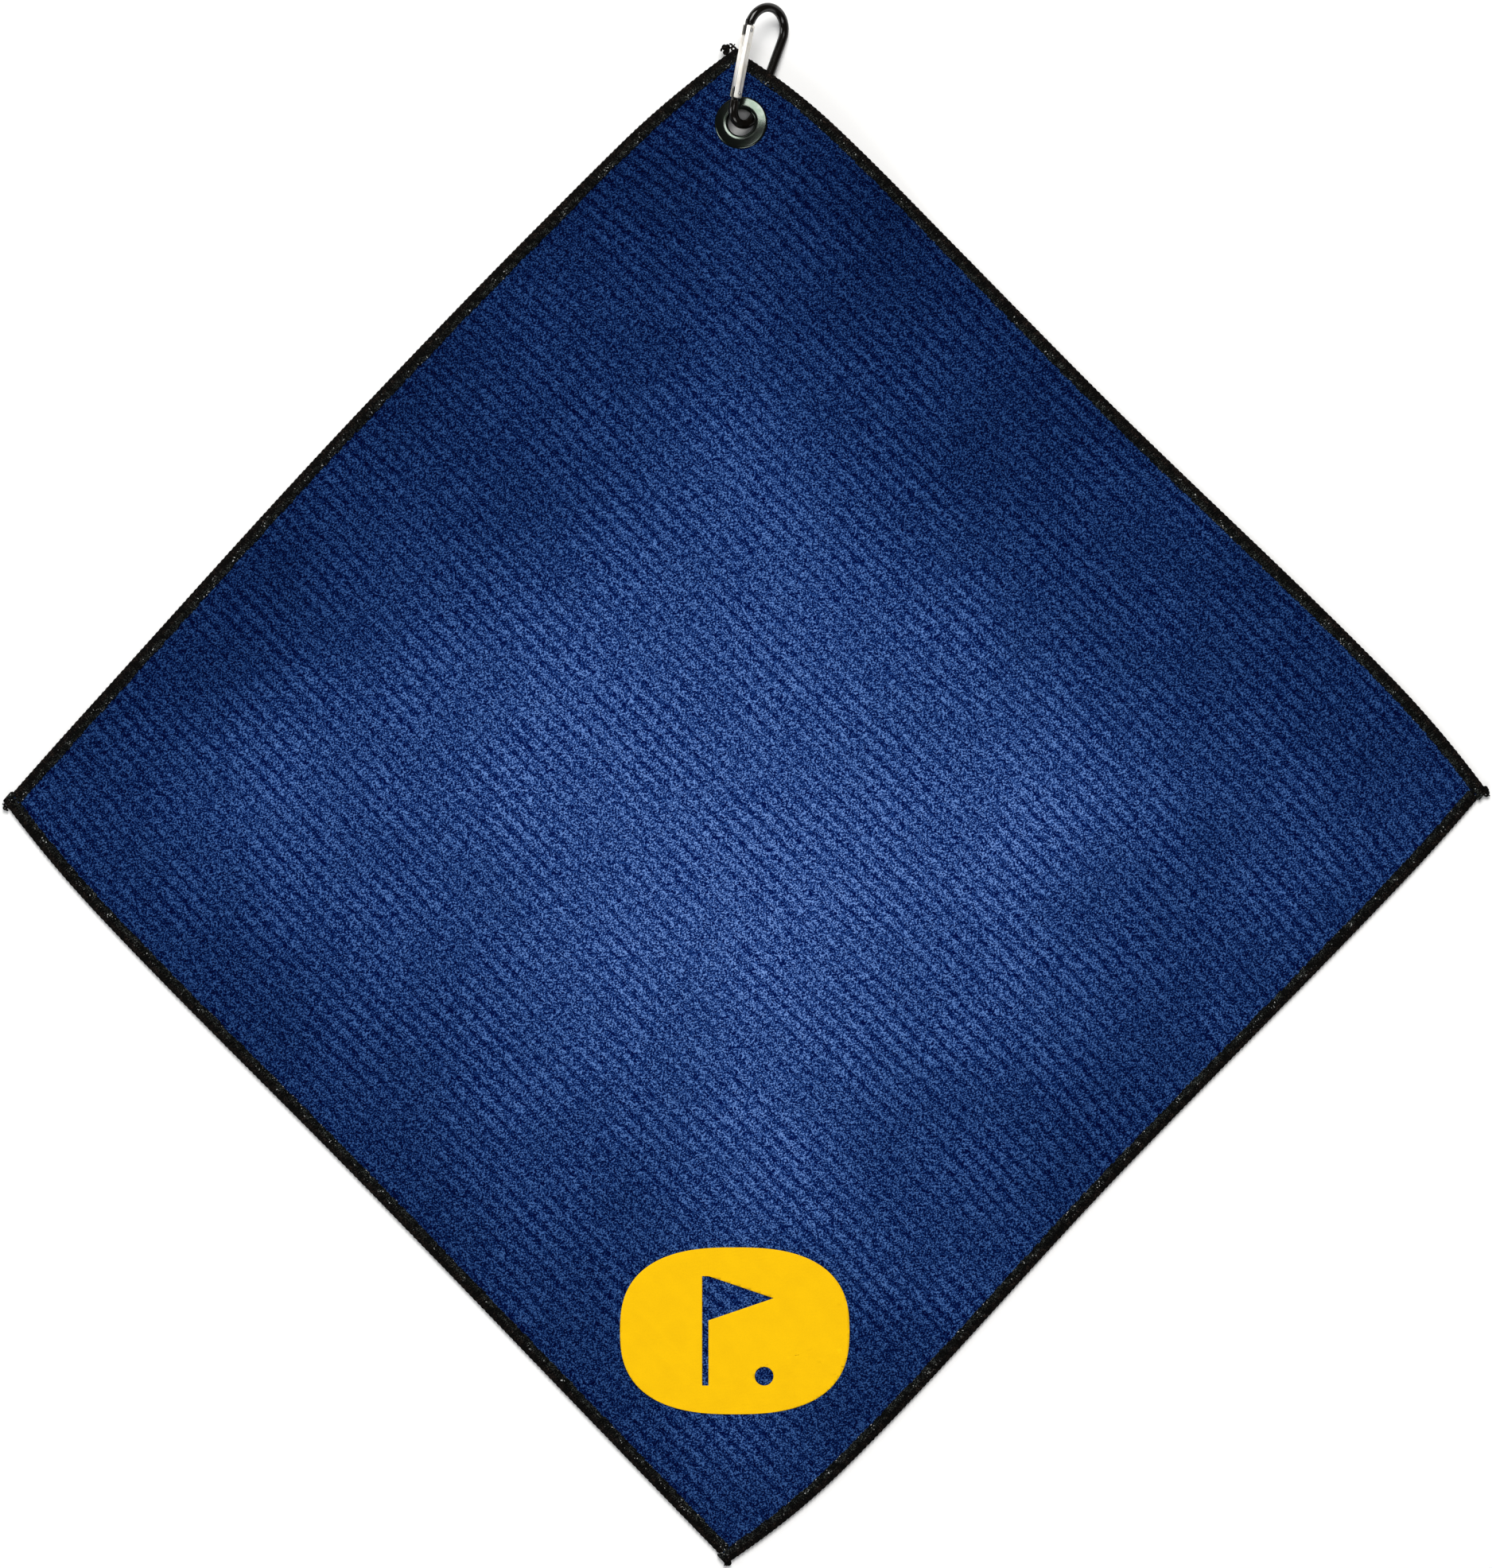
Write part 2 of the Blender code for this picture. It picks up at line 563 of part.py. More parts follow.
def rod_points():
    """The rod's middle line, from below the gate's hinge round both bends to its latch."""
    gate_arm = arm_direction(-1)
    points = [hinge_place() - gate_arm * (GATE_END + HINGE_ROD_GAP)]
    first, last = -math.pi + ARM_ANGLE, -ARM_ANGLE
    for step in range(NARROW_BEND_STEPS + 1):
        angle = first + (last - first) * step / NARROW_BEND_STEPS
        points.append(Vector((math.cos(angle), 1 + math.sin(angle))) * NARROW_BEND_RADIUS)
    first, last = -ARM_ANGLE, math.pi + ARM_ANGLE
    centre = Vector((0, WIDE_BEND_CENTRE))
    for step in range(WIDE_BEND_STEPS + 1):
        angle = first + (last - first) * step / WIDE_BEND_STEPS
        points.append(centre + Vector((math.cos(angle), math.sin(angle))) * WIDE_BEND_RADIUS)
    points.append(latch_place())
    return [(point.x, point.y, 0) for point in points]


def gate_matrix(place):
    """A frame at this place on the gate's line, with Y along the gate."""
    return Matrix.Translation((place.x, place.y, 0)) @ Matrix.Rotation(ARM_ANGLE, 4, "Z")


def make_carabiner_body(swing):
    """The bent rod, with the hinge's tongue at one end and the hooked nose at the other."""
    mesh = rod_mesh("carabiner_body", rod_points(), ROD_RADIUS, 4)
    body = add_part("carabiner_body", mesh, BLACK_ANODISED, swing, round_piece=True)
    half = TONGUE_THICKNESS / 2
    hinge = gate_matrix(hinge_place())
    latch = gate_matrix(latch_place())
    shoulder = GATE_END + SHOULDER_GAP
    room_low = (-CUTTER_REACH, -CUTTER_REACH, -CUTTER_REACH)
    gate_room = box_mesh("gate_room", room_low, (CUTTER_REACH, shoulder, CUTTER_REACH))
    add_boolean(body, add_cutter("gate_room", gate_room, swing, latch))
    tongue_low = (-TONGUE_HALF_WIDTH, -GATE_END - HINGE_ROD_GAP - TONGUE_ROOT, -half)
    tongue = box_mesh("tongue", tongue_low, (TONGUE_HALF_WIDTH, TONGUE_CAM, half))
    add_boolean(body, add_cutter("tongue", tongue, swing, hinge), "UNION")
    hinge_hole = cylinder_mesh("hinge_hole", HINGE_PIN_RADIUS + SMALL_CLEARANCE, -CUTTER_REACH, CUTTER_REACH)
    add_boolean(body, add_cutter("hinge_hole", hinge_hole, swing, hinge))
    notch = LATCH_PIN_RADIUS + CLEARANCE
    nose_low = (-NOSE_WIDTH / 2, -notch - NOSE_LIP, -half)
    nose_high = (NOSE_WIDTH / 2, shoulder + TONGUE_ROOT, half)
    add_boolean(body, add_cutter("nose", box_mesh("nose", nose_low, nose_high), swing, latch), "UNION")
    notch_round = cylinder_mesh("notch_round", notch, -CUTTER_REACH, CUTTER_REACH)
    add_boolean(body, add_cutter("notch_round", notch_round, swing, latch))
    mouth_low = (0, -notch, -CUTTER_REACH)
    notch_mouth = box_mesh("notch_mouth", mouth_low, (CUTTER_REACH, notch, CUTTER_REACH))
    add_boolean(body, add_cutter("notch_mouth", notch_mouth, swing, latch))


def hinge_floor():
    """The end of the gate's hinge slot, which the tongue's corners turn clear of."""
    return math.hypot(TONGUE_HALF_WIDTH, TONGUE_CAM) + CLEARANCE


def make_gate(hinge):
    """The gate in its own frame: hinge pin at the origin, Y towards the latch pin."""
    top = GATE_PIN_DISTANCE + GATE_END
    mesh = cylinder_mesh("carabiner_gate", GATE_RADIUS, -GATE_END, top, ROUND_SIDES, "Y")
    gate = add_part("carabiner_gate", mesh, BRIGHT_ALUMINIUM, hinge, round_piece=True)
    edges = gate.modifiers.new("rounded_ends", "BEVEL")
    edges.width = GATE_END_ROUNDING
    edges.segments = 2
    edges.limit_method = "ANGLE"
    half = GATE_SLOT_WIDTH / 2
    wide = 2 * GATE_RADIUS
    latch_floor = GATE_PIN_DISTANCE - LATCH_PIN_RADIUS - NOSE_LIP - 3 * CLEARANCE
    hinge_slot = box_mesh("hinge_slot", (-wide, -wide, -half), (wide, hinge_floor(), half))
    add_boolean(gate, add_cutter("hinge_slot", hinge_slot, hinge))
    latch_slot = box_mesh("latch_slot", (-wide, latch_floor, -half), (wide, top + wide, half))
    add_boolean(gate, add_cutter("latch_slot", latch_slot, hinge))
    bore_end = hinge_floor() + SPRING_BORE_DEPTH
    bore = cylinder_mesh("spring_bore", SPRING_BORE_RADIUS, 0, bore_end, SMALL_ROUND_SIDES, "Y")
    add_boolean(gate, add_cutter("spring_bore", bore, hinge))
    for name, radius, place in (
        ("hinge_pin_hole", HINGE_PIN_RADIUS, 0),
        ("latch_pin_hole", LATCH_PIN_RADIUS, GATE_PIN_DISTANCE),
    ):
        hole = cylinder_mesh(name, radius + SMALL_CLEARANCE, -wide, wide)
        add_boolean(gate, add_cutter(name, hole, hinge, Matrix.Translation((0, place, 0))))


def make_pin(name, radius, hinge, place, finish):
    """A pin across the gate with slightly domed ends."""
    end = GATE_RADIUS + PIN_PROUD
    profile = [(0, -end), (radius * 0.6, -end + PIN_DOME * 0.3), (radius, -end + PIN_DOME)]
    profile += [(radius, end - PIN_DOME), (radius * 0.6, end - PIN_DOME * 0.3), (0, end)]
    bm = bmesh.new()
    points = [bm.verts.new((x, 0, z)) for x, z in reversed(profile)]
    for first, second in zip(points, points[1:]):
        bm.edges.new((first, second))
    mesh = bpy.data.meshes.new(name)
    bm.to_mesh(mesh)
    bm.free()
    pin = add_part(name, mesh, finish, hinge)
    pin.location = (0, place, 0)
    turn = pin.modifiers.new("turn", "SCREW")
    turn.steps = SMALL_ROUND_SIDES
    turn.render_steps = SMALL_ROUND_SIDES
    turn.use_merge_vertices = True
    turn.merge_threshold = 0.01 * MM
    turn.use_smooth_shade = True


def make_gate_spring(hinge, plunger_slide):
    """The coil and the plunger in the gate's bore. The plunger bears on the tongue's flat end."""
    plunger_start = TONGUE_CAM + SMALL_CLEARANCE
    mesh = cylinder_mesh("gate_plunger", PLUNGER_RADIUS, 0, PLUNGER_LENGTH, SMALL_ROUND_SIDES, "Y")
    plunger = add_part("gate_plunger", mesh, SPRING_STEEL, plunger_slide, round_piece=True)
    plunger.location = (0, plunger_start, 0)
    first = plunger_start + PLUNGER_LENGTH + PLUNGER_TRAVEL + SPRING_WIRE_RADIUS + CLEARANCE
    last = hinge_floor() + SPRING_BORE_DEPTH - SPRING_WIRE_RADIUS - CLEARANCE
    points = []
    count = SPRING_TURNS * SPRING_TURN_STEPS
    for step in range(count + 1):
        angle = 2 * math.pi * step / SPRING_TURN_STEPS
        y = first + (last - first) * step / count
        points.append((SPRING_RADIUS * math.cos(angle), y, SPRING_RADIUS * math.sin(angle)))
    mesh = rod_mesh("gate_spring", points, SPRING_WIRE_RADIUS, 1)
    add_part("gate_spring", mesh, SPRING_STEEL, hinge, round_piece=True)


def make_carabiner(frame):
    bend = HOLE + BEND_IN_HOLE
    turn = Matrix.Rotation(-CARABINER_LEAN, 4, "Z") @ Matrix.Rotation(CARABINER_ROLL, 4, "Y")
    swing = add_empty("carabiner_swing", frame, Matrix.Translation((*bend, BEND_HEIGHT)) @ turn)
    make_carabiner_body(swing)
    hinge = add_empty("gate_hinge", swing, gate_matrix(hinge_place()))
    make_gate(hinge)
    make_pin("hinge_pin", HINGE_PIN_RADIUS, hinge, 0, SPRING_STEEL)
    make_pin("latch_pin", LATCH_PIN_RADIUS, hinge, GATE_PIN_DISTANCE, SPRING_STEEL)
    plunger_slide = add_empty("plunger_slide", hinge, Matrix.Identity(4))
    make_gate_spring(hinge, plunger_slide)


def footprint_centre():
    """The middle of the object's outline: the hems' corners at the sides and bottom, the carabiner on top."""
    left = outline_point(0, CLOTH_WIDTH + THREAD_TAIL).x
    right = outline_point(CLOTH_LENGTH + THREAD_TAIL, 0).x
    bottom = outline_point(CLOTH_LENGTH, CLOTH_WIDTH + THREAD_TAIL).y
    wide_bend = HOLE + BEND_IN_HOLE + ALONG * WIDE_BEND_CENTRE
    flatness = math.hypot(ALONG.y, ACROSS.y * math.cos(CARABINER_ROLL))
    top = wide_bend.y + WIDE_BEND_RADIUS * flatness + ROD_RADIUS
    return Vector(((left + right) / 2, (bottom + top) / 2))


def main():
    global parts, cutters
    for old in list(bpy.data.objects):
        bpy.data.objects.remove(old)
    parts = bpy.data.collections.new("golf_towel")
    cutters = bpy.data.collections.new("cutters")
    bpy.context.scene.collection.children.link(parts)
    bpy.context.scene.collection.children.link(cutters)
    frame = add_empty("towel_frame", None, Matrix.Translation((*-footprint_centre(), 0)))
    cloth = make_cloth(frame)
    make_hems(frame)
    make_eyelet(frame, cloth)
    make_badge(frame)
    make_carabiner(frame)


main()
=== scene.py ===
import math
import random

import bmesh
import bpy
from mathutils import Matrix, Vector
from mathutils.bvhtree import BVHTree


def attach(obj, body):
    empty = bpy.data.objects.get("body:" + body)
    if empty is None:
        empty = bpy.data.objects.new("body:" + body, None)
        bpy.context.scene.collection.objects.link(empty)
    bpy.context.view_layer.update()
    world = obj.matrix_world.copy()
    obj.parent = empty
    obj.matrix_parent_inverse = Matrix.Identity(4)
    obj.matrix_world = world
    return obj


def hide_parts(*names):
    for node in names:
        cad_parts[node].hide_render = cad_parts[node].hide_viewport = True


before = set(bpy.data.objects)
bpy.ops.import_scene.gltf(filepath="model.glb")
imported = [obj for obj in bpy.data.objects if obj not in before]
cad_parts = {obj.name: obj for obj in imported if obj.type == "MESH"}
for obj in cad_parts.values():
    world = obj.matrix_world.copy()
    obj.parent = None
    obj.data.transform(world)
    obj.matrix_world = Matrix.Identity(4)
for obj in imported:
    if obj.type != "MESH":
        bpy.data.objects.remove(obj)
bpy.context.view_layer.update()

bl_info = {
    "name": "Golf towel",
    "version": (1, 0, 0),
    "blender": (4, 5, 0),
    "location": "3D View > Sidebar > Golf Towel",
    "description": "A waffle golf towel with an overlocked hem, a badge, an eyelet and a carabiner",
    "category": "Add Mesh",
}

MM = 0.001
WELD_DISTANCE = 0.001 * MM  # verts closer than this are one

# The cloth as it lies. These sizes and places are the CAD model's own.
CLOTH_LENGTH = 406 * MM
CLOTH_WIDTH = 406 * MM
CLOTH_MIDDLE = 0.9 * MM
CLOTH_EDGE = 1.2 * MM  # the cloth's own edge lies this far inside the hem's outer edge
PRESS_FADE = 1.5 * MM  # the hem presses the cloth down over this width beside it
CORNER_SHIFTS = {
    "top": Vector((-4.0, 3.0)) * MM,
    "right": Vector((-2.6, 6.4)) * MM,
    "bottom": Vector((-6.4, -3.5)) * MM,
    "left": Vector((3.1, 1.2)) * MM,
}
UPPER_RIGHT_BOW = (5.9 * MM, 4.5 * MM, 5.2 * MM)
LOWER_RIGHT_BOW = (2.4 * MM, 3.1 * MM, 6.8 * MM)
LOWER_LEFT_BOW = (0.4 * MM, 1.4 * MM, 3.7 * MM)
UPPER_LEFT_BOW = (2.1 * MM, 6.8 * MM, 5.9 * MM)
BOW_PLACES = (0.0, 0.12, 0.5, 0.86, 1.0)
HEM_WIDTH = 5.4 * MM
HEM_MIDDLE = 1.2 * MM
HEM_START = 5.7 * MM
HEM_TUCK = 0.8 * MM
THREAD_START = HEM_START - HEM_TUCK  # each run starts this far under the run before it
THREAD_TAIL = 1.4 * MM
STITCH_HEIGHT = 0.78 * MM
HOLE_FROM_CORNER = Vector((2.8, -28.7)) * MM
BORE_RADIUS = 5.1 * MM
FLANGE_RADIUS = 10.2 * MM
LIP_RADIUS = 7.3 * MM
EYELET_WALL = 0.6 * MM
EYELET_DOME = 0.9 * MM
BARREL_TOP = 0.7 * MM  # underside of the flange above the cloth's middle
CROWN_RADIUS = BORE_RADIUS + 1.6 * MM
RIM_SHARE = 0.8  # the flange falls faster from this share of its width
WASHER_THICKNESS = 0.4 * MM
PROP_SLOPE_ALONG = -0.095
PROP_SLOPE_ACROSS = 0.18
PROP_PLANE_REACH = 11.0 * MM
PROP_ROUNDING = 2.0 * MM
PROP_CENTRE_ALONG = 12.0 * MM
PROP_FLAT_RADIUS = 28.0 * MM
PROP_FADE_RADIUS = 98.0 * MM
BADGE_FROM_CORNER = Vector((2.7, 89.1)) * MM
BADGE_SQUARENESS = 2.6
POLE_WIDTH = 2.4 * MM
POLE_HEIGHT = 42 * MM
FLAG_LENGTH = 25 * MM
FLAG_DROP = 17 * MM
BALL_RADIUS = 3.6 * MM
INK_GRID = 1.3 * MM

# Carabiner
CARABINER_LENGTH = 49.6 * MM
CARABINER_WIDTH = 22.0 * MM
NARROW_BEND_WIDTH = 15.2 * MM
ROD_RADIUS = 0.353 * BORE_RADIUS
CARABINER_LEAN = math.radians(15.3)
CARABINER_ROLL = math.radians(43.0)
BEND_IN_HOLE = Vector((-0.04, -0.08)) * BORE_RADIUS
BEND_ABOVE_SEAT = 0.22 * MM
FLOOR_CLEARANCE = 0.05 * MM
HINGE_ABOVE_BEND = 5.6 * MM
LATCH_BELOW_BEND = 0.8 * MM
GATE_END = 1.9 * MM
SHOULDER_GAP = 0.6 * MM
HINGE_ROD_GAP = 1.1 * MM
TONGUE_THICKNESS = 1.4 * MM
TONGUE_HALF_WIDTH = 1.5 * MM
TONGUE_CAM = 1.2 * MM
TONGUE_ROOT = 1.5 * MM
NOSE_WIDTH = 3.0 * MM
NOSE_LIP = 1.0 * MM
HINGE_HOLE_RADIUS = 0.8 * MM
NOTCH_RADIUS = 0.9 * MM
CUTTER_REACH = 5.0 * MM

# Stage
FLOOR_HALF = 3.0
FLOOR_DROP = 0.02 * MM
WORLD_STRENGTH = 0.06
CAMERA_PLACE = (0.34 * MM, 0.46 * MM, 3.0)
SENSOR_HEIGHT = 24
VIEW_HEIGHT = 0.60195
# Each light's name, place, size, power and colour. All of them look at the origin.
LIGHTS = (
    ("key", (0.15, 2.35, 2.75), (2.0, 2.0), 146, (1.0, 0.99, 0.97)),
    ("overhead", (0.1, 0.1, 2.2), (0.8, 0.8), 6, (1.0, 1.0, 1.0)),
    ("left", (-3.0, -0.2, 1.1), (1.4, 1.4), 38, (0.96, 0.98, 1.0)),
    ("front", (0.4, -3.2, 2.2), (2.8, 1.2), 46, (1.0, 1.0, 1.0)),
)

DOWN_RIGHT = Vector((1, -1)).normalized()
UP_RIGHT = Vector((1, 1)).normalized()
ALONG = Vector((math.sin(CARABINER_LEAN), math.cos(CARABINER_LEAN)))
ACROSS = Vector((math.cos(CARABINER_LEAN), -math.sin(CARABINER_LEAN)))
TOP_CORNER = (UP_RIGHT * CLOTH_WIDTH - DOWN_RIGHT * CLOTH_LENGTH) / 2 + CORNER_SHIFTS["top"]
RIGHT_CORNER = (UP_RIGHT * CLOTH_WIDTH + DOWN_RIGHT * CLOTH_LENGTH) / 2 + CORNER_SHIFTS["right"]
BOTTOM_CORNER = (DOWN_RIGHT * CLOTH_LENGTH - UP_RIGHT * CLOTH_WIDTH) / 2 + CORNER_SHIFTS["bottom"]
LEFT_CORNER = (-DOWN_RIGHT * CLOTH_LENGTH - UP_RIGHT * CLOTH_WIDTH) / 2 + CORNER_SHIFTS["left"]
HOLE = TOP_CORNER + HOLE_FROM_CORNER
NARROW_BEND_RADIUS = NARROW_BEND_WIDTH / 2 - ROD_RADIUS
WIDE_BEND_RADIUS = CARABINER_WIDTH / 2 - ROD_RADIUS
WIDE_BEND_CENTRE = CARABINER_LENGTH - 2 * ROD_RADIUS - WIDE_BEND_RADIUS
BEND_SPREAD = WIDE_BEND_CENTRE - NARROW_BEND_RADIUS
ARM_ANGLE = math.asin((WIDE_BEND_RADIUS - NARROW_BEND_RADIUS) / BEND_SPREAD)
GATE_PIN_DISTANCE = BEND_SPREAD * math.cos(ARM_ANGLE) - HINGE_ABOVE_BEND - LATCH_BELOW_BEND
BEND_HEIGHT = WIDE_BEND_RADIUS * math.sin(CARABINER_ROLL) + ROD_RADIUS + FLOOR_CLEARANCE
PROP_HEIGHT = BEND_HEIGHT - CLOTH_MIDDLE - BEND_ABOVE_SEAT


class TowelSizes(bpy.types.PropertyGroup):
    """Sizes of the cloth, its hem and its badge that can be changed on their own."""

    row_spacing: bpy.props.FloatProperty(
        name="Row spacing", description="From one waffle row to the next",
        default=5.3 * MM, unit="LENGTH",
    )
    cell_spacing: bpy.props.FloatProperty(
        name="Cell spacing", description="From one waffle cell to the next in its row",
        default=5.9 * MM, unit="LENGTH",
    )
    relief: bpy.props.FloatProperty(
        name="Relief", description="Height of a waffle row above its furrow",
        default=0.62 * MM, unit="LENGTH",
    )
    cloth_wall: bpy.props.FloatProperty(
        name="Cloth wall", description="Thickness of the cloth without its relief",
        default=1.05 * MM, unit="LENGTH",
    )
    undulation: bpy.props.FloatProperty(
        name="Undulation", description="How far the laid cloth rises and falls",
        default=0.16 * MM, unit="LENGTH",
    )
    stitch_pitch: bpy.props.FloatProperty(
        name="Stitch pitch", description="From one overlock stitch to the next",
        default=2.2 * MM, unit="LENGTH",
    )
    thread_radius: bpy.props.FloatProperty(
        name="Thread radius", description="Radius of the woolly hem thread",
        default=0.4 * MM, unit="LENGTH",
    )
    badge_width: bpy.props.FloatProperty(
        name="Badge width", description="Width of the printed badge",
        default=88 * MM, unit="LENGTH",
    )
    badge_height: bpy.props.FloatProperty(
        name="Badge height", description="Height of the printed badge",
        default=64 * MM, unit="LENGTH",
    )
    ink_thickness: bpy.props.FloatProperty(
        name="Ink thickness", description="Thickness of the badge's print",
        default=0.1 * MM, unit="LENGTH",
    )


class TowelColours(bpy.types.PropertyGroup):
    """Colours of the cloth, thread, print and metal."""

    cloth: bpy.props.FloatVectorProperty(
        name="Cloth", description="Navy blue of the loops' sides",
        default=(0.0084, 0.042, 0.192), subtype="COLOR", min=0, max=1,
    )
    cloth_deep: bpy.props.FloatVectorProperty(
        name="Cloth, deep", description="Navy between the loops",
        default=(0.0, 0.0025, 0.048), subtype="COLOR", min=0, max=1,
    )
    # Partly painted glint: the loop tips' pale blue.
    cloth_light: bpy.props.FloatVectorProperty(
        name="Cloth, light", description="Pale blue on the tips of the loops",
        default=(0.128, 0.235, 0.53), subtype="COLOR", min=0, max=1,
    )
    thread: bpy.props.FloatVectorProperty(
        name="Thread", description="Black overlock thread",
        default=(0.0008, 0.0008, 0.0008), subtype="COLOR", min=0, max=1,
    )
    print_ink: bpy.props.FloatVectorProperty(
        name="Print", description="Yellow of the badge's ink",
        default=(0.86, 0.50, 0.0025), subtype="COLOR", min=0, max=1,
    )
    nickel: bpy.props.FloatVectorProperty(
        name="Black nickel", description="Plating of the eyelet",
        default=(0.060, 0.069, 0.062), subtype="COLOR", min=0, max=1,
    )
    aluminium: bpy.props.FloatVectorProperty(
        name="Aluminium", description="Bare metal of the gate",
        default=(0.99, 0.965, 0.92), subtype="COLOR", min=0, max=1,
    )
    floor: bpy.props.FloatVectorProperty(
        name="Floor", description="Pale studio floor",
        default=(0.92, 0.92, 0.92), subtype="COLOR", min=0, max=1,
    )


class Wire:
    """A socket that can be used in sums: each sum adds a Math node to its tree."""

    def __init__(self, tree, socket):
        self.tree = tree
        self.socket = socket

    def math(self, operation, *values):
        return self.tree.add("ShaderNodeMath", {"operation": operation}, dict(enumerate(values)))

    def __add__(self, other):
        return self.math("ADD", self, other)

    __radd__ = __add__

    def __sub__(self, other):
        return self.math("SUBTRACT", self, other)

    def __rsub__(self, other):
        return self.math("SUBTRACT", other, self)

    def __mul__(self, other):
        return self.math("MULTIPLY", self, other)

    __rmul__ = __mul__

    def __truediv__(self, other):
        return self.math("DIVIDE", self, other)

    def __rtruediv__(self, other):
        return self.math("DIVIDE", other, self)

    def __pow__(self, other):
        return self.math("POWER", self, other)

    def __rpow__(self, other):
        return self.math("POWER", other, self)

    def cos(self):
        return self.math("COSINE", self)

    def least(self, other):
        return self.math("MINIMUM", self, other)

    def most(self, other):
        return self.math("MAXIMUM", self, other)


class Tree:
    """A node tree being written, for a material or for Geometry Nodes."""

    def __init__(self, tree):
        self.tree = tree

    def put(self, socket, value):
        if isinstance(value, Wire):
            self.tree.links.new(value.socket, socket)
        else:
            socket.default_value = value

    def add(self, kind, settings=None, inputs=None, output=0):
        """Adds a node: its settings first, then the values or links of its sockets."""
        node = self.tree.nodes.new(kind)
        for name, value in (settings or {}).items():
            setattr(node, name, value)
        for key, value in (inputs or {}).items():
            self.put(node.inputs[key], value)
        return Wire(self, node.outputs[output])

    def noise(self, vector, size, detail=2.0, roughness=0.5):
        """Noise whose grains are about this size, in metres."""
        inputs = {"Vector": vector, "Scale": 1 / size, "Detail": detail, "Roughness": roughness}
        return self.add("ShaderNodeTexNoise", None, inputs)

    def ramp(self, value, low, high, start=0.0, end=1.0):
        inputs = {"Value": value, "From Min": low, "From Max": high, "To Min": start, "To Max": end}
        return self.add("ShaderNodeMapRange", {"interpolation_type": "SMOOTHSTEP"}, inputs)

    def colours(self, factor, first, second):
        """first where the factor is 0, second where it is 1."""
        inputs = {0: factor, 6: as_colour(first), 7: as_colour(second)}
        return self.add("ShaderNodeMix", {"data_type": "RGBA"}, inputs, 2)

    def attribute(self, name):
        """A number stored on the mesh, inside a material."""
        return self.add("ShaderNodeAttribute", {"attribute_name": name}, output="Fac")

    def field(self, name, kind="FLOAT"):
        """A value stored on the mesh, inside Geometry Nodes."""
        return self.add("GeometryNodeInputNamedAttribute", {"data_type": kind}, {"Name": name})

    def bump(self, height, depth, strength):
        """Turns a height from 0 to 1 into a bump this many metres deep."""
        inputs = {"Strength": strength, "Distance": depth, "Height": height}
        return self.add("ShaderNodeBump", None, inputs)


def as_colour(value):
    return value if isinstance(value, Wire) else (*value[:3], 1.0)


def new_material(name, roughness, metallic=0.0, constants=None):
    """A material with a Principled shader, its tree and the place of a point on its piece."""
    material = bpy.data.materials.new(name)
    material.use_nodes = True
    shader = material.node_tree.nodes["Principled BSDF"]
    settings = {"Roughness": roughness, "Metallic": metallic, **(constants or {})}
    for key, value in settings.items():
        shader.inputs[key].default_value = value
    tree = Tree(material.node_tree)
    return material, tree, tree.add("ShaderNodeTexCoord", output="Object")


def finish_material(material, colour, roughness=None, normal=None):
    """Feeds the shader what changes over the surface."""
    tree = Tree(material.node_tree)
    shader = material.node_tree.nodes["Principled BSDF"]
    for key, wire in (("Base Color", colour), ("Roughness", roughness), ("Normal", normal)):
        if wire is not None:
            tree.put(shader.inputs[key], wire)
    return material


def sizes():
    return bpy.context.scene.towel_sizes


def colours():
    return bpy.context.scene.towel_colours


def smooth_step(value):
    value = min(max(value, 0.0), 1.0)
    return value * value * (3 - 2 * value)


def evenly(first, last, gaps):
    """Values from first to last with this many equal gaps between them."""
    return [first + (last - first) * step / gaps for step in range(gaps + 1)]


def angles(count):
    """This many angles evenly round a circle, from 0."""
    return [2 * math.pi * step / count for step in range(count)]


def direction(angle):
    return Vector((math.cos(angle), math.sin(angle)))


def signed_power(value, power):
    return math.copysign(abs(value) ** power, value)


def bow(heights, share):
    """A side's bow at this share of its length, on a smooth curve that is nothing at both ends."""
    share = min(max(share, 0.0), 1.0)
    values = (0.0, *heights, 0.0)
    slopes = [0.0] * len(values)
    for i in range(1, len(values) - 1):
        slopes[i] = (values[i + 1] - values[i - 1]) / (BOW_PLACES[i + 1] - BOW_PLACES[i - 1])
    slopes[0] = 2 * (values[1] - values[0]) / (BOW_PLACES[1] - BOW_PLACES[0]) - slopes[1]
    slopes[-1] = 2 * (values[-1] - values[-2]) / (BOW_PLACES[-1] - BOW_PLACES[-2]) - slopes[-2]
    i = 0
    while share > BOW_PLACES[i + 1]:
        i += 1
    gap = BOW_PLACES[i + 1] - BOW_PLACES[i]
    t = (share - BOW_PLACES[i]) / gap
    start = (2 * t**3 - 3 * t**2 + 1) * values[i] + (t**3 - 2 * t**2 + t) * gap * slopes[i]
    return start + (3 * t**2 - 2 * t**3) * values[i + 1] + (t**3 - t**2) * gap * slopes[i + 1]


def outline_point(from_upper_left, from_upper_right):
    """The flat place of a point given by its distances from the two upper sides."""
    u = from_upper_left / CLOTH_LENGTH
    v = from_upper_right / CLOTH_WIDTH
    upper = TOP_CORNER.lerp(RIGHT_CORNER, u)
    lower = LEFT_CORNER.lerp(BOTTOM_CORNER, u)
    point = upper.lerp(lower, v)
    point += UP_RIGHT * (bow(UPPER_RIGHT_BOW, u) * (1 - v) - bow(LOWER_LEFT_BOW, 1 - u) * v)
    point += DOWN_RIGHT * (bow(LOWER_RIGHT_BOW, v) * u - bow(UPPER_LEFT_BOW, 1 - v) * (1 - u))
    return point


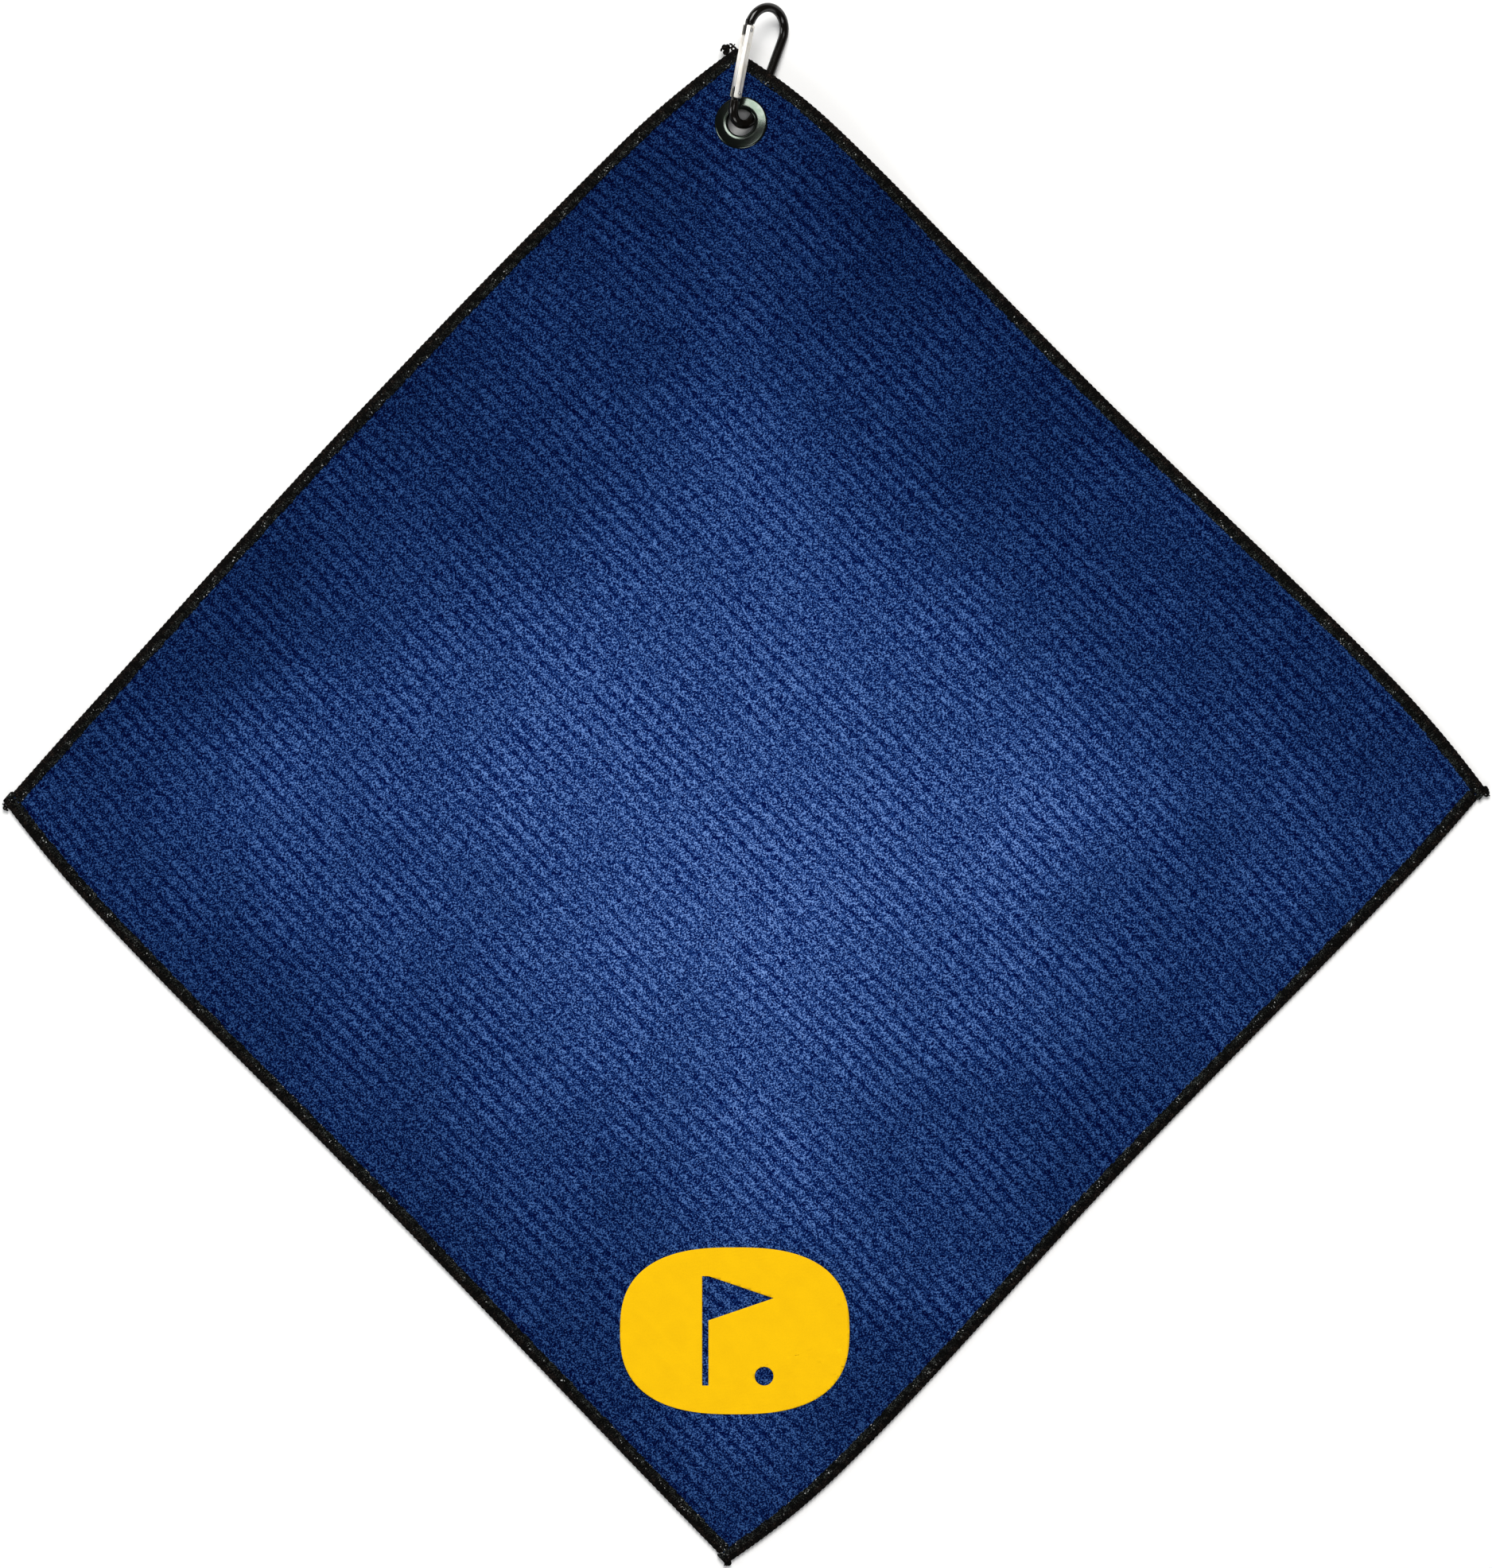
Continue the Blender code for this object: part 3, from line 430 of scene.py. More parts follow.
def levelled(distance):
    beyond = abs(distance) - PROP_PLANE_REACH
    if beyond <= 0:
        return distance
    rounded = PROP_PLANE_REACH + PROP_ROUNDING * (1 - math.exp(-beyond / PROP_ROUNDING))
    return math.copysign(rounded, distance)


def prop(point):
    """How high the carabiner props the cloth up at this flat place."""
    offset = point - HOLE
    along = offset.dot(ALONG)
    rise = PROP_SLOPE_ALONG * max(along, levelled(along))
    rise += PROP_SLOPE_ACROSS * levelled(offset.dot(ACROSS))
    reach = (offset - ALONG * PROP_CENTRE_ALONG).length
    fade = smooth_step((PROP_FADE_RADIUS - reach) / (PROP_FADE_RADIUS - PROP_FLAT_RADIUS))
    return max(PROP_HEIGHT + rise, 0.0) * fade


def footprint_centre():
    """The middle of the object's outline, which is the frame's origin."""
    left = outline_point(0, CLOTH_WIDTH + THREAD_TAIL).x
    right = outline_point(CLOTH_LENGTH + THREAD_TAIL, 0).x
    bottom = outline_point(CLOTH_LENGTH, CLOTH_WIDTH + THREAD_TAIL).y
    wide_bend = HOLE + BEND_IN_HOLE + ALONG * WIDE_BEND_CENTRE
    flatness = math.hypot(ALONG.y, ACROSS.y * math.cos(CARABINER_ROLL))
    top = wide_bend.y + WIDE_BEND_RADIUS * flatness + ROD_RADIUS
    return Vector(((left + right) / 2, (bottom + top) / 2))


TOWEL_PLACE = -footprint_centre()


def laid(point, height):
    """A flat place as a point of the scene, this high above the propped underside."""
    return Vector((*(point + TOWEL_PLACE), height + prop(point)))


def upward(point):
    """Square to the propped cloth at this flat place."""
    step = 0.5 * MM
    slope_x = (prop(point + Vector((step, 0))) - prop(point - Vector((step, 0)))) / (2 * step)
    slope_y = (prop(point + Vector((0, step))) - prop(point - Vector((0, step)))) / (2 * step)
    return Vector((-slope_x, -slope_y, 1)).normalized()


def seat_matrix():
    """Origin in the middle of the cloth at the eyelet, Z square to the propped cloth."""
    slope = ALONG * PROP_SLOPE_ALONG + ACROSS * PROP_SLOPE_ACROSS
    normal = Vector((-slope.x, -slope.y, 1)).normalized()
    turn = Vector((0, 0, 1)).rotation_difference(normal).to_matrix().to_4x4()
    return Matrix.Translation((*(HOLE + TOWEL_PLACE), CLOTH_MIDDLE + PROP_HEIGHT)) @ turn


def carabiner_matrix():
    """Origin in the middle of the narrow bend, X towards the spine and Y towards the wide bend."""
    bend = HOLE + BEND_IN_HOLE + TOWEL_PLACE
    turn = Matrix.Rotation(-CARABINER_LEAN, 4, "Z") @ Matrix.Rotation(CARABINER_ROLL, 4, "Y")
    return Matrix.Translation((*bend, BEND_HEIGHT)) @ turn


def add_piece(name, mesh, material=None):
    piece = bpy.data.objects.new(name, mesh)
    bpy.context.scene.collection.objects.link(piece)
    if material:
        mesh.materials.clear()
        mesh.materials.append(material)
    return piece


def mesh_from(name, bm):
    mesh = bpy.data.meshes.new(name)
    bm.to_mesh(mesh)
    bm.free()
    return mesh


def bmesh_piece(name, bm, material=None, matrix=None):
    """A piece with its faces turned outwards, put in place by the matrix."""
    bmesh.ops.recalc_face_normals(bm, faces=bm.faces)
    piece = add_piece(name, mesh_from(name, bm), material)
    if matrix:
        piece.data.transform(matrix)
    return piece


def face_up(mesh):
    """Turns a sheet's faces over if they look down."""
    if mesh.polygons[0].normal.z < 0:
        mesh.flip_normals()


def smooth(mesh, degrees):
    """Smooth shading, with edges sharper than this angle left sharp."""
    mesh.shade_smooth()
    mesh.set_sharp_from_angle(angle=math.radians(degrees))


def settle(piece, body, nodes):
    """Hides the CAD parts that a finished piece stands in for and hangs the piece on its body."""
    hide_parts(*nodes)
    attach(piece, body)


def remove(piece):
    bpy.data.objects.remove(piece)


def evaluated_mesh(piece):
    bpy.context.view_layer.update()
    evaluated = piece.evaluated_get(bpy.context.evaluated_depsgraph_get())
    return bpy.data.meshes.new_from_object(evaluated)


def bake_modifiers(piece):
    """Turns a piece and its modifiers into one plain mesh."""
    mesh = evaluated_mesh(piece)
    piece.modifiers.clear()
    old = piece.data
    piece.data = mesh
    bpy.data.meshes.remove(old)
    mesh.name = piece.name


def add_wall(piece, thickness):
    """Gives a sheet its thickness, half on each side."""
    wall = piece.modifiers.new("wall", "SOLIDIFY")
    wall.thickness = thickness
    wall.offset = 0
    bake_modifiers(piece)


def curve_bmesh(outlines, closed, settings):
    """The surface of a curve through these flat outlines."""
    curve = bpy.data.curves.new("outlines", "CURVE")
    for name, value in settings.items():
        setattr(curve, name, value)
    for outline in outlines:
        spline = curve.splines.new("POLY")
        spline.points.add(len(outline) - 1)
        spline.use_cyclic_u = closed
        for place, point in zip(spline.points, outline):
            place.co = (*point, 0, 1)
    holder = bpy.data.objects.new("outlines", curve)
    bpy.context.scene.collection.objects.link(holder)
    mesh = evaluated_mesh(holder)
    remove(holder)
    bm = bmesh.new()
    bm.from_mesh(mesh)
    bpy.data.meshes.remove(mesh)
    bmesh.ops.remove_doubles(bm, verts=bm.verts, dist=WELD_DISTANCE)
    return bm


def bridge(bm, rings):
    """Joins rings of verts into one closed tube."""
    for first, second in zip(rings, rings[1:]):
        for k in range(len(first)):
            following = (k + 1) % len(first)
            bm.faces.new((first[k], first[following], second[following], second[k]))
    bm.faces.new(reversed(rings[0]))
    bm.faces.new(rings[-1])


def new_geometry_tree(name, inputs):
    """A Geometry Nodes tree with these inputs of these kinds, and its inputs as wires."""
    group = bpy.data.node_groups.new(name, "GeometryNodeTree")
    group.interface.new_socket("Geometry", in_out="OUTPUT", socket_type="NodeSocketGeometry")
    for label, kind in {"Geometry": "Geometry", **inputs}.items():
        group.interface.new_socket(label, in_out="INPUT", socket_type="NodeSocket" + kind)
    tree = Tree(group)
    entry = group.nodes.new("NodeGroupInput")
    return tree, {socket.name: Wire(tree, socket) for socket in entry.outputs if socket.name}


def finish_geometry_tree(tree, geometry, material):
    """Realises the geometry, gives it its material and sends it out."""
    geometry = tree.add("GeometryNodeRealizeInstances", None, {"Geometry": geometry})
    geometry = tree.add("GeometryNodeSetShadeSmooth", None, {"Geometry": geometry})
    inputs = {"Geometry": geometry, "Material": material}
    geometry = tree.add("GeometryNodeSetMaterial", None, inputs)
    exit_node = tree.tree.nodes.new("NodeGroupOutput")
    tree.put(exit_node.inputs["Geometry"], geometry)
    return tree.tree


def apply_geometry_tree(piece, group, values):
    """Runs a Geometry Nodes tree on a piece, with its inputs set by their sockets' identifiers."""
    modifier = piece.modifiers.new(group.name, "NODES")
    modifier.node_group = group
    for item in group.interface.items_tree:
        if item.item_type == "SOCKET" and item.in_out == "INPUT" and item.name in values:
            modifier[item.identifier] = values[item.name]
    bake_modifiers(piece)


# Cloth


def cloth_material():
    """Navy waffle microfibre: random loop speckle whose pale tips are partly painted glint, painted
    shade in the furrows, painted highlight on the row crests, a nap of random tone, and painted
    shade towards the top and near the hem.
    """
    material, tree, place = new_material(
        "navy_waffle_cloth", 0.88, 0.0, {"Specular IOR Level": 0.03}
    )
    wobble = tree.noise(place, 5 * MM) - 0.5
    row_turns = 2 * math.pi / sizes().row_spacing
    cell_turns = 2 * math.pi / sizes().cell_spacing
    row_phase = (tree.attribute("across") + wobble * 2.4 * MM) * row_turns
    cell_phase = (tree.attribute("along") + wobble * 5.0 * MM) * cell_turns
    row = row_phase.cos() * 0.5 + 0.5
    cell = (cell_phase + row_phase * 0.5).cos() * 0.5 + 0.5
    clear = tree.ramp(tree.noise(place, 38 * MM), 0.36, 0.62, 0.45, 1.0)
    # Painted shade: the furrow mask darkens the furrows' tone, besides lowering them in the bump.
    furrow = tree.ramp(row, 0.42, 0.0) * (tree.ramp(cell, 0.25, 0.8) * 0.65 + 0.35) * clear
    loops = tree.noise(place, 0.58 * MM, 1.0, 0.6)
    strands = tree.noise(place, 1.3 * MM, 1.0)
    nap = tree.noise(place, 75 * MM, 3.0, 0.55)
    # The row term paints the row crests lighter, a painted highlight. The loop and strand speckle
    # is random tone.
    tone = (loops - 0.5) * 3.7 + (strands - 0.5) * 0.9 + (row - 0.5) * clear * 0.20
    tone = (tone - furrow * 0.32 + 0.48).most(0.0).least(1.0)
    blue = tree.colours((tone * 2).least(1.0) ** 1.5, colours().cloth_deep, colours().cloth)
    # Partly painted glint: the palest loop tips reach cloth_light.
    blue = tree.colours((tone * 2 - 1).most(0.0) ** 1.4, blue, colours().cloth_light)
    up_the_cloth = tree.add("ShaderNodeSeparateXYZ", None, {"Vector": place}, "Y")
    # Painted shade: the cloth is darker towards the top and within about 170 mm of the hem, and the
    # nap adds random tone to it.
    lower = tree.ramp(up_the_cloth, 0.24, -0.14, 0.73, 1.12)
    from_hem = tree.attribute("from_hem") + (nap - 0.5) * 0.14
    nap_and_painted_shade = tree.ramp(from_hem, -0.02, 0.17, 0.35, 1.0) * lower * ((nap - 0.5) * 0.35 + 1.0)
    channels = {0: nap_and_painted_shade ** 1.7, 1: nap_and_painted_shade ** 1.25, 2: nap_and_painted_shade}
    shade = tree.add("ShaderNodeCombineColor", None, channels)
    blend = {"data_type": "RGBA", "blend_type": "MULTIPLY"}
    blue = tree.add("ShaderNodeMix", blend, {0: 1.0, 6: blue, 7: shade}, 2)
    height = loops * 0.16 + strands * 0.10 + row * clear * 0.30 - furrow * 0.12
    return finish_material(material, blue, 1.0 - tone * 0.15, tree.bump(height, 1.0 * MM, 0.9))


def waffle_tree():
    """Raises the waffle rows on a laid sheet, less where the hem and the eyelet press it."""
    tree, wires = new_geometry_tree("waffle_rows", {
        "Row Spacing": "Float", "Cell Spacing": "Float", "Relief": "Float", "Undulation": "Float",
        "Material": "Material",
    })
    off_hem = tree.ramp(tree.field("from_hem"), 0.0, 4 * MM)
    off_eyelet = tree.ramp(tree.field("from_eyelet"), 0.0, 5 * MM)
    row = (tree.field("across") * (2 * math.pi) / wires["Row Spacing"]).cos()
    cell = (tree.field("along") * (2 * math.pi) / wires["Cell Spacing"]).cos()
    relief = row * (cell * 0.22 + 0.78) * wires["Relief"] * 0.5
    place = tree.add("GeometryNodeInputPosition")
    swell = (tree.noise(place, 60 * MM, 1.0) - 0.5) * 2 * wires["Undulation"]
    height = (relief + swell) * (off_hem * off_eyelet)
    lift = tree.add("ShaderNodeCombineXYZ", None, {"Z": height})
    inputs = {"Geometry": wires["Geometry"], "Offset": lift}
    raised = tree.add("GeometryNodeSetPosition", None, inputs)
    return finish_geometry_tree(tree, raised, wires["Material"])


class GOLFTOWEL_OT_cloth(bpy.types.Operator):
    """Lay the waffle cloth"""

    bl_idname = "golf_towel.cloth"
    bl_label = "Waffle cloth"

    def execute(self, context):
        rows = round(CLOTH_WIDTH / sizes().row_spacing) * 4
        columns = round(CLOTH_LENGTH / sizes().cell_spacing) * 2
        bm = bmesh.new()
        bmesh.ops.create_grid(bm, x_segments=columns, y_segments=rows, size=1)
        names = ("along", "across", "from_hem", "from_eyelet")
        layers = [bm.verts.layers.float.new(name) for name in names]
        for vert in bm.verts:
            along = CLOTH_EDGE + (vert.co.x + 1) / 2 * (CLOTH_LENGTH - 2 * CLOTH_EDGE)
            across = CLOTH_EDGE + (1 - vert.co.y) / 2 * (CLOTH_WIDTH - 2 * CLOTH_EDGE)
            point = outline_point(along, across)
            side = min(along, across, CLOTH_LENGTH - along, CLOTH_WIDTH - across)
            in_hem = smooth_step((HEM_WIDTH + PRESS_FADE - side) / PRESS_FADE)
            vert.co = laid(point, CLOTH_MIDDLE + (HEM_MIDDLE - CLOTH_MIDDLE) * in_hem)
            from_eyelet = (point - HOLE).length - FLANGE_RADIUS
            for layer, value in zip(layers, (along, across, side - HEM_WIDTH, from_eyelet)):
                vert[layer] = value
        hole = HOLE + TOWEL_PLACE
        hole_radius = (BORE_RADIUS + FLANGE_RADIUS) / 2
        under_flange = [
            face for face in bm.faces
            if (face.calc_center_median().xy - hole).length < hole_radius
        ]
        bmesh.ops.delete(bm, geom=under_flange, context="FACES")
        bmesh.ops.recalc_face_normals(bm, faces=bm.faces)
        mesh = mesh_from("waffle_cloth", bm)
        face_up(mesh)
        material = cloth_material()
        cloth = add_piece("waffle_cloth", mesh, material)
        apply_geometry_tree(cloth, waffle_tree(), {
            "Row Spacing": sizes().row_spacing,
            "Cell Spacing": sizes().cell_spacing,
            "Relief": sizes().relief,
            "Undulation": sizes().undulation,
            "Material": material,
        })
        add_wall(cloth, sizes().cloth_wall)
        settle(cloth, "towel", ["towel_cloth"])
        return {"FINISHED"}


# Hem


def thread_material():
    """Woolly black overlock thread with brown and grey tints and pale specks towards its inner
    edge.
    """
    sheen = {"Sheen Weight": 0.01, "Sheen Roughness": 0.4, "Specular IOR Level": 0.05}
    material, tree, place = new_material("black_overlock_thread", 0.8, 0.0, sheen)
    inset = tree.attribute("inset")
    fibres = tree.noise(place, 0.45 * MM, 2.0, 0.65)
    patches = tree.ramp(tree.noise(place, 2.5 * MM), 0.35, 0.65)
    outer = tree.colours(patches, (0.004, 0.003, 0.002), (0.034, 0.023, 0.018))
    inner = tree.colours(patches, (0.007, 0.009, 0.007), (0.072, 0.082, 0.074))
    tints = tree.colours(tree.ramp(inset, 0.35, 0.6), outer, inner)
    black = tree.colours(tree.ramp(fibres, 0.50, 0.68), colours().thread, tints)
    # Sparse pale specks, towards the hem's inner edge.
    flecks = tree.ramp(tree.noise(place, 0.6 * MM, 0.0), 0.72, 0.77) * tree.ramp(inset, 0.25, 0.55)
    pale_specks = flecks * tree.ramp(tree.noise(place, 3.2 * MM, 1.0), 0.55, 0.62)
    black = tree.colours(pale_specks, black, (0.45, 0.46, 0.45))
    normal = tree.bump(fibres, 0.2 * MM, 0.9)
    return finish_material(material, black, 0.68 + fibres * 0.3, normal)


def tube(bm, points, radius, sides=5, flat=1.0, taper=0.0):
    """A closed thread along these points, flattened in Z and tapered towards its far end."""
    last = len(points) - 1
    rings = []
    for i, point in enumerate(points):
        ahead = (points[min(i + 1, last)] - points[max(i - 1, 0)]).normalized()
        side = ahead.cross(Vector((0, 0, 1)))
        if side.length < 0.1:
            side = ahead.cross(Vector((0, 1, 0)))
        side.normalize()
        up = side.cross(ahead)
        size = radius * (1 - taper * i / last)
        ring = []
        for angle in angles(sides):
            offset = side * math.cos(angle) * size + up * math.sin(angle) * size * flat
            ring.append(bm.verts.new(point + offset))
        rings.append(ring)
    bridge(bm, rings)


def stitch_template():
    """One overlock stitch: X ahead along the hem, Y out of the cloth from its edge, Z up."""
    pitch = sizes().stitch_pitch
    radius = sizes().thread_radius
    inner = -HEM_WIDTH + 0.5 * MM
    bm = bmesh.new()
    for up, shift in ((1, 0.0), (-1, 0.5)):
        out_points = []
        back_points = []
        for share in (0.0, 0.3, 0.62, 0.86, 1.0):
            y = inner * (1 - share) - 0.35 * MM * share
            arch = (1 - share**4) * (0.86 + 0.28 * math.sin(math.pi * share))
            z = STITCH_HEIGHT * arch * up
            out_points.append(Vector(((shift + 0.5 * share) * pitch, y, z)))
            back_points.append(Vector(((shift + 1 - 0.5 * share) * pitch, y, z * 0.9)))
        tube(bm, out_points, radius, flat=0.8)
        tube(bm, back_points[::-1], radius, flat=0.8)
    knot = [
        Vector(((0.5 + 0.22 * t) * pitch, -0.32 * MM, 0.35 * MM * t)) for t in (-1, -0.4, 0.4, 1)
    ]
    tube(bm, knot, radius * 0.95)
    chain = []
    for t in (0.02, 0.3, 0.7, 0.98):
        y = -HEM_WIDTH + 0.75 * MM - 0.14 * MM * math.sin(2 * math.pi * t)
        chain.append(Vector((t * pitch, y, STITCH_HEIGHT * 0.8)))
    tube(bm, chain, radius * 0.7)
    inset = bm.verts.layers.float.new("inset")  # 0 at the hem's outer edge, 1 at its inner edge
    for vert in bm.verts:
        vert[inset] = min(max(-vert.co.y / HEM_WIDTH, 0.0), 1.0)
    return bmesh_piece("stitch_template", bm)


# Each run's length, and the flat place of a point this far along it and this far inside it
HEM_RUNS = {
    "hem_upper_right": (CLOTH_LENGTH, lambda run, inset: outline_point(run, inset)),
    "hem_lower_right": (CLOTH_WIDTH, lambda run, inset: outline_point(CLOTH_LENGTH - inset, run)),
    "hem_lower_left": (
        CLOTH_LENGTH,
        lambda run, inset: outline_point(CLOTH_LENGTH - run, CLOTH_WIDTH - inset),
    ),
    "hem_upper_left": (CLOTH_WIDTH, lambda run, inset: outline_point(inset, CLOTH_WIDTH - run)),
}

# Each knot's hem run, how far beyond and inside the run's end it lies, its half length and half
# width, and its number of loops
THREAD_ENDS = (
    ("hem_upper_left", -1.7 * MM, -1.0 * MM, 2.2 * MM, 2.0 * MM, 12),
    ("hem_upper_right", 0.3 * MM, 0.8 * MM, 1.5 * MM, 1.1 * MM, 7),
    ("hem_lower_right", -0.2 * MM, 0.2 * MM, 0.9 * MM, 0.9 * MM, 4),
    ("hem_lower_left", -1.8 * MM, -0.5 * MM, 0.9 * MM, 0.8 * MM, 4),
)
LOOP_TURN = 5.2


def hem_core(name):
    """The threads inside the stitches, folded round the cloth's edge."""
    length, place = HEM_RUNS[name]
    middle = HEM_WIDTH / 2 - 0.2 * MM
    half_width = HEM_WIDTH / 2 - 0.33 * MM
    profile = []
    for angle in angles(14):
        x = signed_power(math.cos(angle), 0.6)
        z = signed_power(math.sin(angle), 0.8)
        profile.append((middle - x * half_width, z * 0.72 * MM))
    bm = bmesh.new()
    inset_layer = bm.verts.layers.float.new("inset")
    rings = []
    for run in evenly(THREAD_START, length + THREAD_TAIL * 0.6, 110):
        ring = []
        for inset, z in profile:
            vert = bm.verts.new(laid(place(run, inset), HEM_MIDDLE + z))
            vert[inset_layer] = inset / HEM_WIDTH
            ring.append(vert)
        rings.append(ring)
    bridge(bm, rings)
    return bmesh_piece(name + "_core", bm)


def hem_path(name):
    """The hem's outer edge as a line, with the directions ahead and up stored on it."""
    length, place = HEM_RUNS[name]
    bm = bmesh.new()
    ahead_layer = bm.verts.layers.float_vector.new("ahead")
    up_layer = bm.verts.layers.float_vector.new("up")
    verts = []
    for run in evenly(THREAD_START, length + THREAD_TAIL - 1.5 * sizes().stitch_pitch, 120):
        point = place(run, 0)
        vert = bm.verts.new(laid(point, HEM_MIDDLE))
        ahead = laid(place(run + MM, 0), 0) - laid(place(run - MM, 0), 0)
        vert[ahead_layer] = ahead.normalized()
        vert[up_layer] = upward(point)
        verts.append(vert)
    for pair in zip(verts, verts[1:]):
        bm.edges.new(pair)
    return add_piece(name + "_thread", mesh_from(name, bm))


def overlock_tree():
    """Repeats a stitch along the hem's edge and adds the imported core."""
    tree, wires = new_geometry_tree("overlock_stitches", {
        "Stitch": "Object", "Core": "Object", "Pitch": "Float", "Unevenness": "Float",
        "Seed": "Int", "Material": "Material",
    })

    def uneven(seed):
        low, high = 1.0 - wires["Unevenness"], wires["Unevenness"] + 1.0
        inputs = {2: low, 3: high, "Seed": seed}
        return tree.add("FunctionNodeRandomValue", {"data_type": "FLOAT"}, inputs, 1)

    def aligned(settings, inputs):
        return tree.add("FunctionNodeAlignRotationToVector", settings, inputs)

    line = tree.add("GeometryNodeMeshToCurve", None, {"Mesh": wires["Geometry"]})
    places = tree.add("GeometryNodeResampleCurve", {"mode": "LENGTH"}, {
        "Curve": line, "Length": wires["Pitch"],
    })
    ahead = aligned({"axis": "X"}, {"Vector": tree.field("ahead", "FLOAT_VECTOR")})
    upright = aligned({"axis": "Z", "pivot_axis": "X"}, {
        "Rotation": ahead, "Vector": tree.field("up", "FLOAT_VECTOR"),
    })
    size = tree.add("ShaderNodeCombineXYZ", None, {
        "X": uneven(wires["Seed"]), "Y": uneven(wires["Seed"] + 1), "Z": uneven(wires["Seed"] + 2),
    })
    stitch = tree.add("GeometryNodeObjectInfo", None, {"Object": wires["Stitch"]}, "Geometry")
    stitches = tree.add("GeometryNodeInstanceOnPoints", None, {
        "Points": places, "Instance": stitch, "Rotation": upright, "Scale": size,
    })
    core = tree.add("GeometryNodeObjectInfo", None, {"Object": wires["Core"]}, "Geometry")
    join = tree.tree.nodes.new("GeometryNodeJoinGeometry")
    tree.put(join.inputs[0], core)
    tree.put(join.inputs[0], stitches)
    return finish_geometry_tree(tree, Wire(tree, join.outputs[0]), wires["Material"])


class GOLFTOWEL_OT_hem(bpy.types.Operator):
    """Sew the four runs of overlock hem"""

    bl_idname = "golf_towel.hem"
    bl_label = "Overlock hem"

    def execute(self, context):
        stitch = stitch_template()
        tree = overlock_tree()
        material = thread_material()
        for seed, name in enumerate(HEM_RUNS):
            core = hem_core(name)
            hem = hem_path(name)
            apply_geometry_tree(hem, tree, {
                "Stitch": stitch,
                "Core": core,
                "Pitch": sizes().stitch_pitch,
                "Unevenness": 0.05,
                "Seed": 10 * seed,
                "Material": material,
            })
            remove(core)
            settle(hem, "towel", [name])
        remove(stitch)
        return {"FINISHED"}


class GOLFTOWEL_OT_thread_ends(bpy.types.Operator):
    """Leave the sewn-off thread ends at the corners"""

    bl_idname = "golf_towel.thread_ends"
    bl_label = "Thread ends"

    def execute(self, context):
        chance = random.Random(4)
        radius = sizes().thread_radius
        bm = bmesh.new()
        for name, beyond, inset, half_length, half_width, loops in THREAD_ENDS:
            length, place = HEM_RUNS[name]
            centre = place(length + beyond, inset)
            ahead = (place(length, inset) - place(length - 5 * MM, inset)).normalized()
            side = Vector((-ahead.y, ahead.x))
            for loop in range(loops):
                away = direction(chance.uniform(0, 2 * math.pi))
                away *= math.sqrt(chance.uniform(0.05, 1))
                middle = centre + ahead * half_length * away.x + side * half_width * away.y
                size = chance.uniform(0.5, 0.85) * MM
                start = chance.uniform(0, 2 * math.pi)
                tilt = chance.uniform(-0.45, 0.45) * MM
                points = []
                for angle in evenly(start, start + LOOP_TURN, 9):
                    height = HEM_MIDDLE + 0.1 * MM + tilt * math.sin(angle - start)
                    points.append(laid(middle + direction(angle) * size, height))
                tube(bm, points, radius * 0.95, sides=6)
            tail = []
            for t in (-1, 0, 1):
                sway = side * math.sin(t * 2) * 0.4 * MM
                flat = centre + ahead * (half_length + t * 1.1 * MM) + sway
                tail.append(laid(flat, HEM_MIDDLE))
            tube(bm, tail, radius * 0.8, sides=6, taper=0.3)
        thread = bpy.data.materials["black_overlock_thread"]
        tufts = bmesh_piece("thread_ends", bm, thread)
        tufts.data.shade_smooth()
        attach(tufts, "towel")
        return {"FINISHED"}


# Badge


def print_material():
    """Flat yellow transfer ink that has taken the cloth's texture."""
    material, tree, place = new_material(
        "yellow_badge_print", 0.8, 0.0, {"Specular IOR Level": 0.04}
    )
    weave = tree.noise(place, 0.6 * MM, 2.0, 0.6)
    blotch = tree.noise(place, 9 * MM)
    ink = colours().print_ink
    deeper = (ink[0] * 0.9, ink[1] * 0.88, ink[2])
    # Darker in random blotches and where the weave lies low.
    blotches_and_low_weave = tree.ramp(blotch, 0.3, 0.7) * 0.35 + tree.ramp(weave, 0.6, 0.3) * 0.3
    yellow = tree.colours(blotches_and_low_weave, ink, deeper)
    normal = tree.bump(weave, 0.06 * MM, 0.3)
    return finish_material(material, yellow, 0.75 + weave * 0.2, normal)


def badge_outlines():
    """A squarish oval, and the flag on its pole and the ball that are left open in it."""
    oval = []
    for angle in angles(180):
        x = signed_power(math.cos(angle), 2 / BADGE_SQUARENESS)
        y = signed_power(math.sin(angle), 2 / BADGE_SQUARENESS)
        oval.append((x * sizes().badge_width / 2, y * sizes().badge_height / 2))
    left = -FLAG_LENGTH / 2
    right = left + POLE_WIDTH
    head = POLE_HEIGHT / 2
    flag = [
        (left, -head), (right, -head), (right, head - FLAG_DROP),
        (right + FLAG_LENGTH, head - FLAG_DROP / 2), (right, head), (left, head),
    ]
    centre = Vector((FLAG_LENGTH * 0.45, BALL_RADIUS - head))
    ball = [centre + direction(angle) * BALL_RADIUS for angle in angles(48)]
    return oval, flag, ball


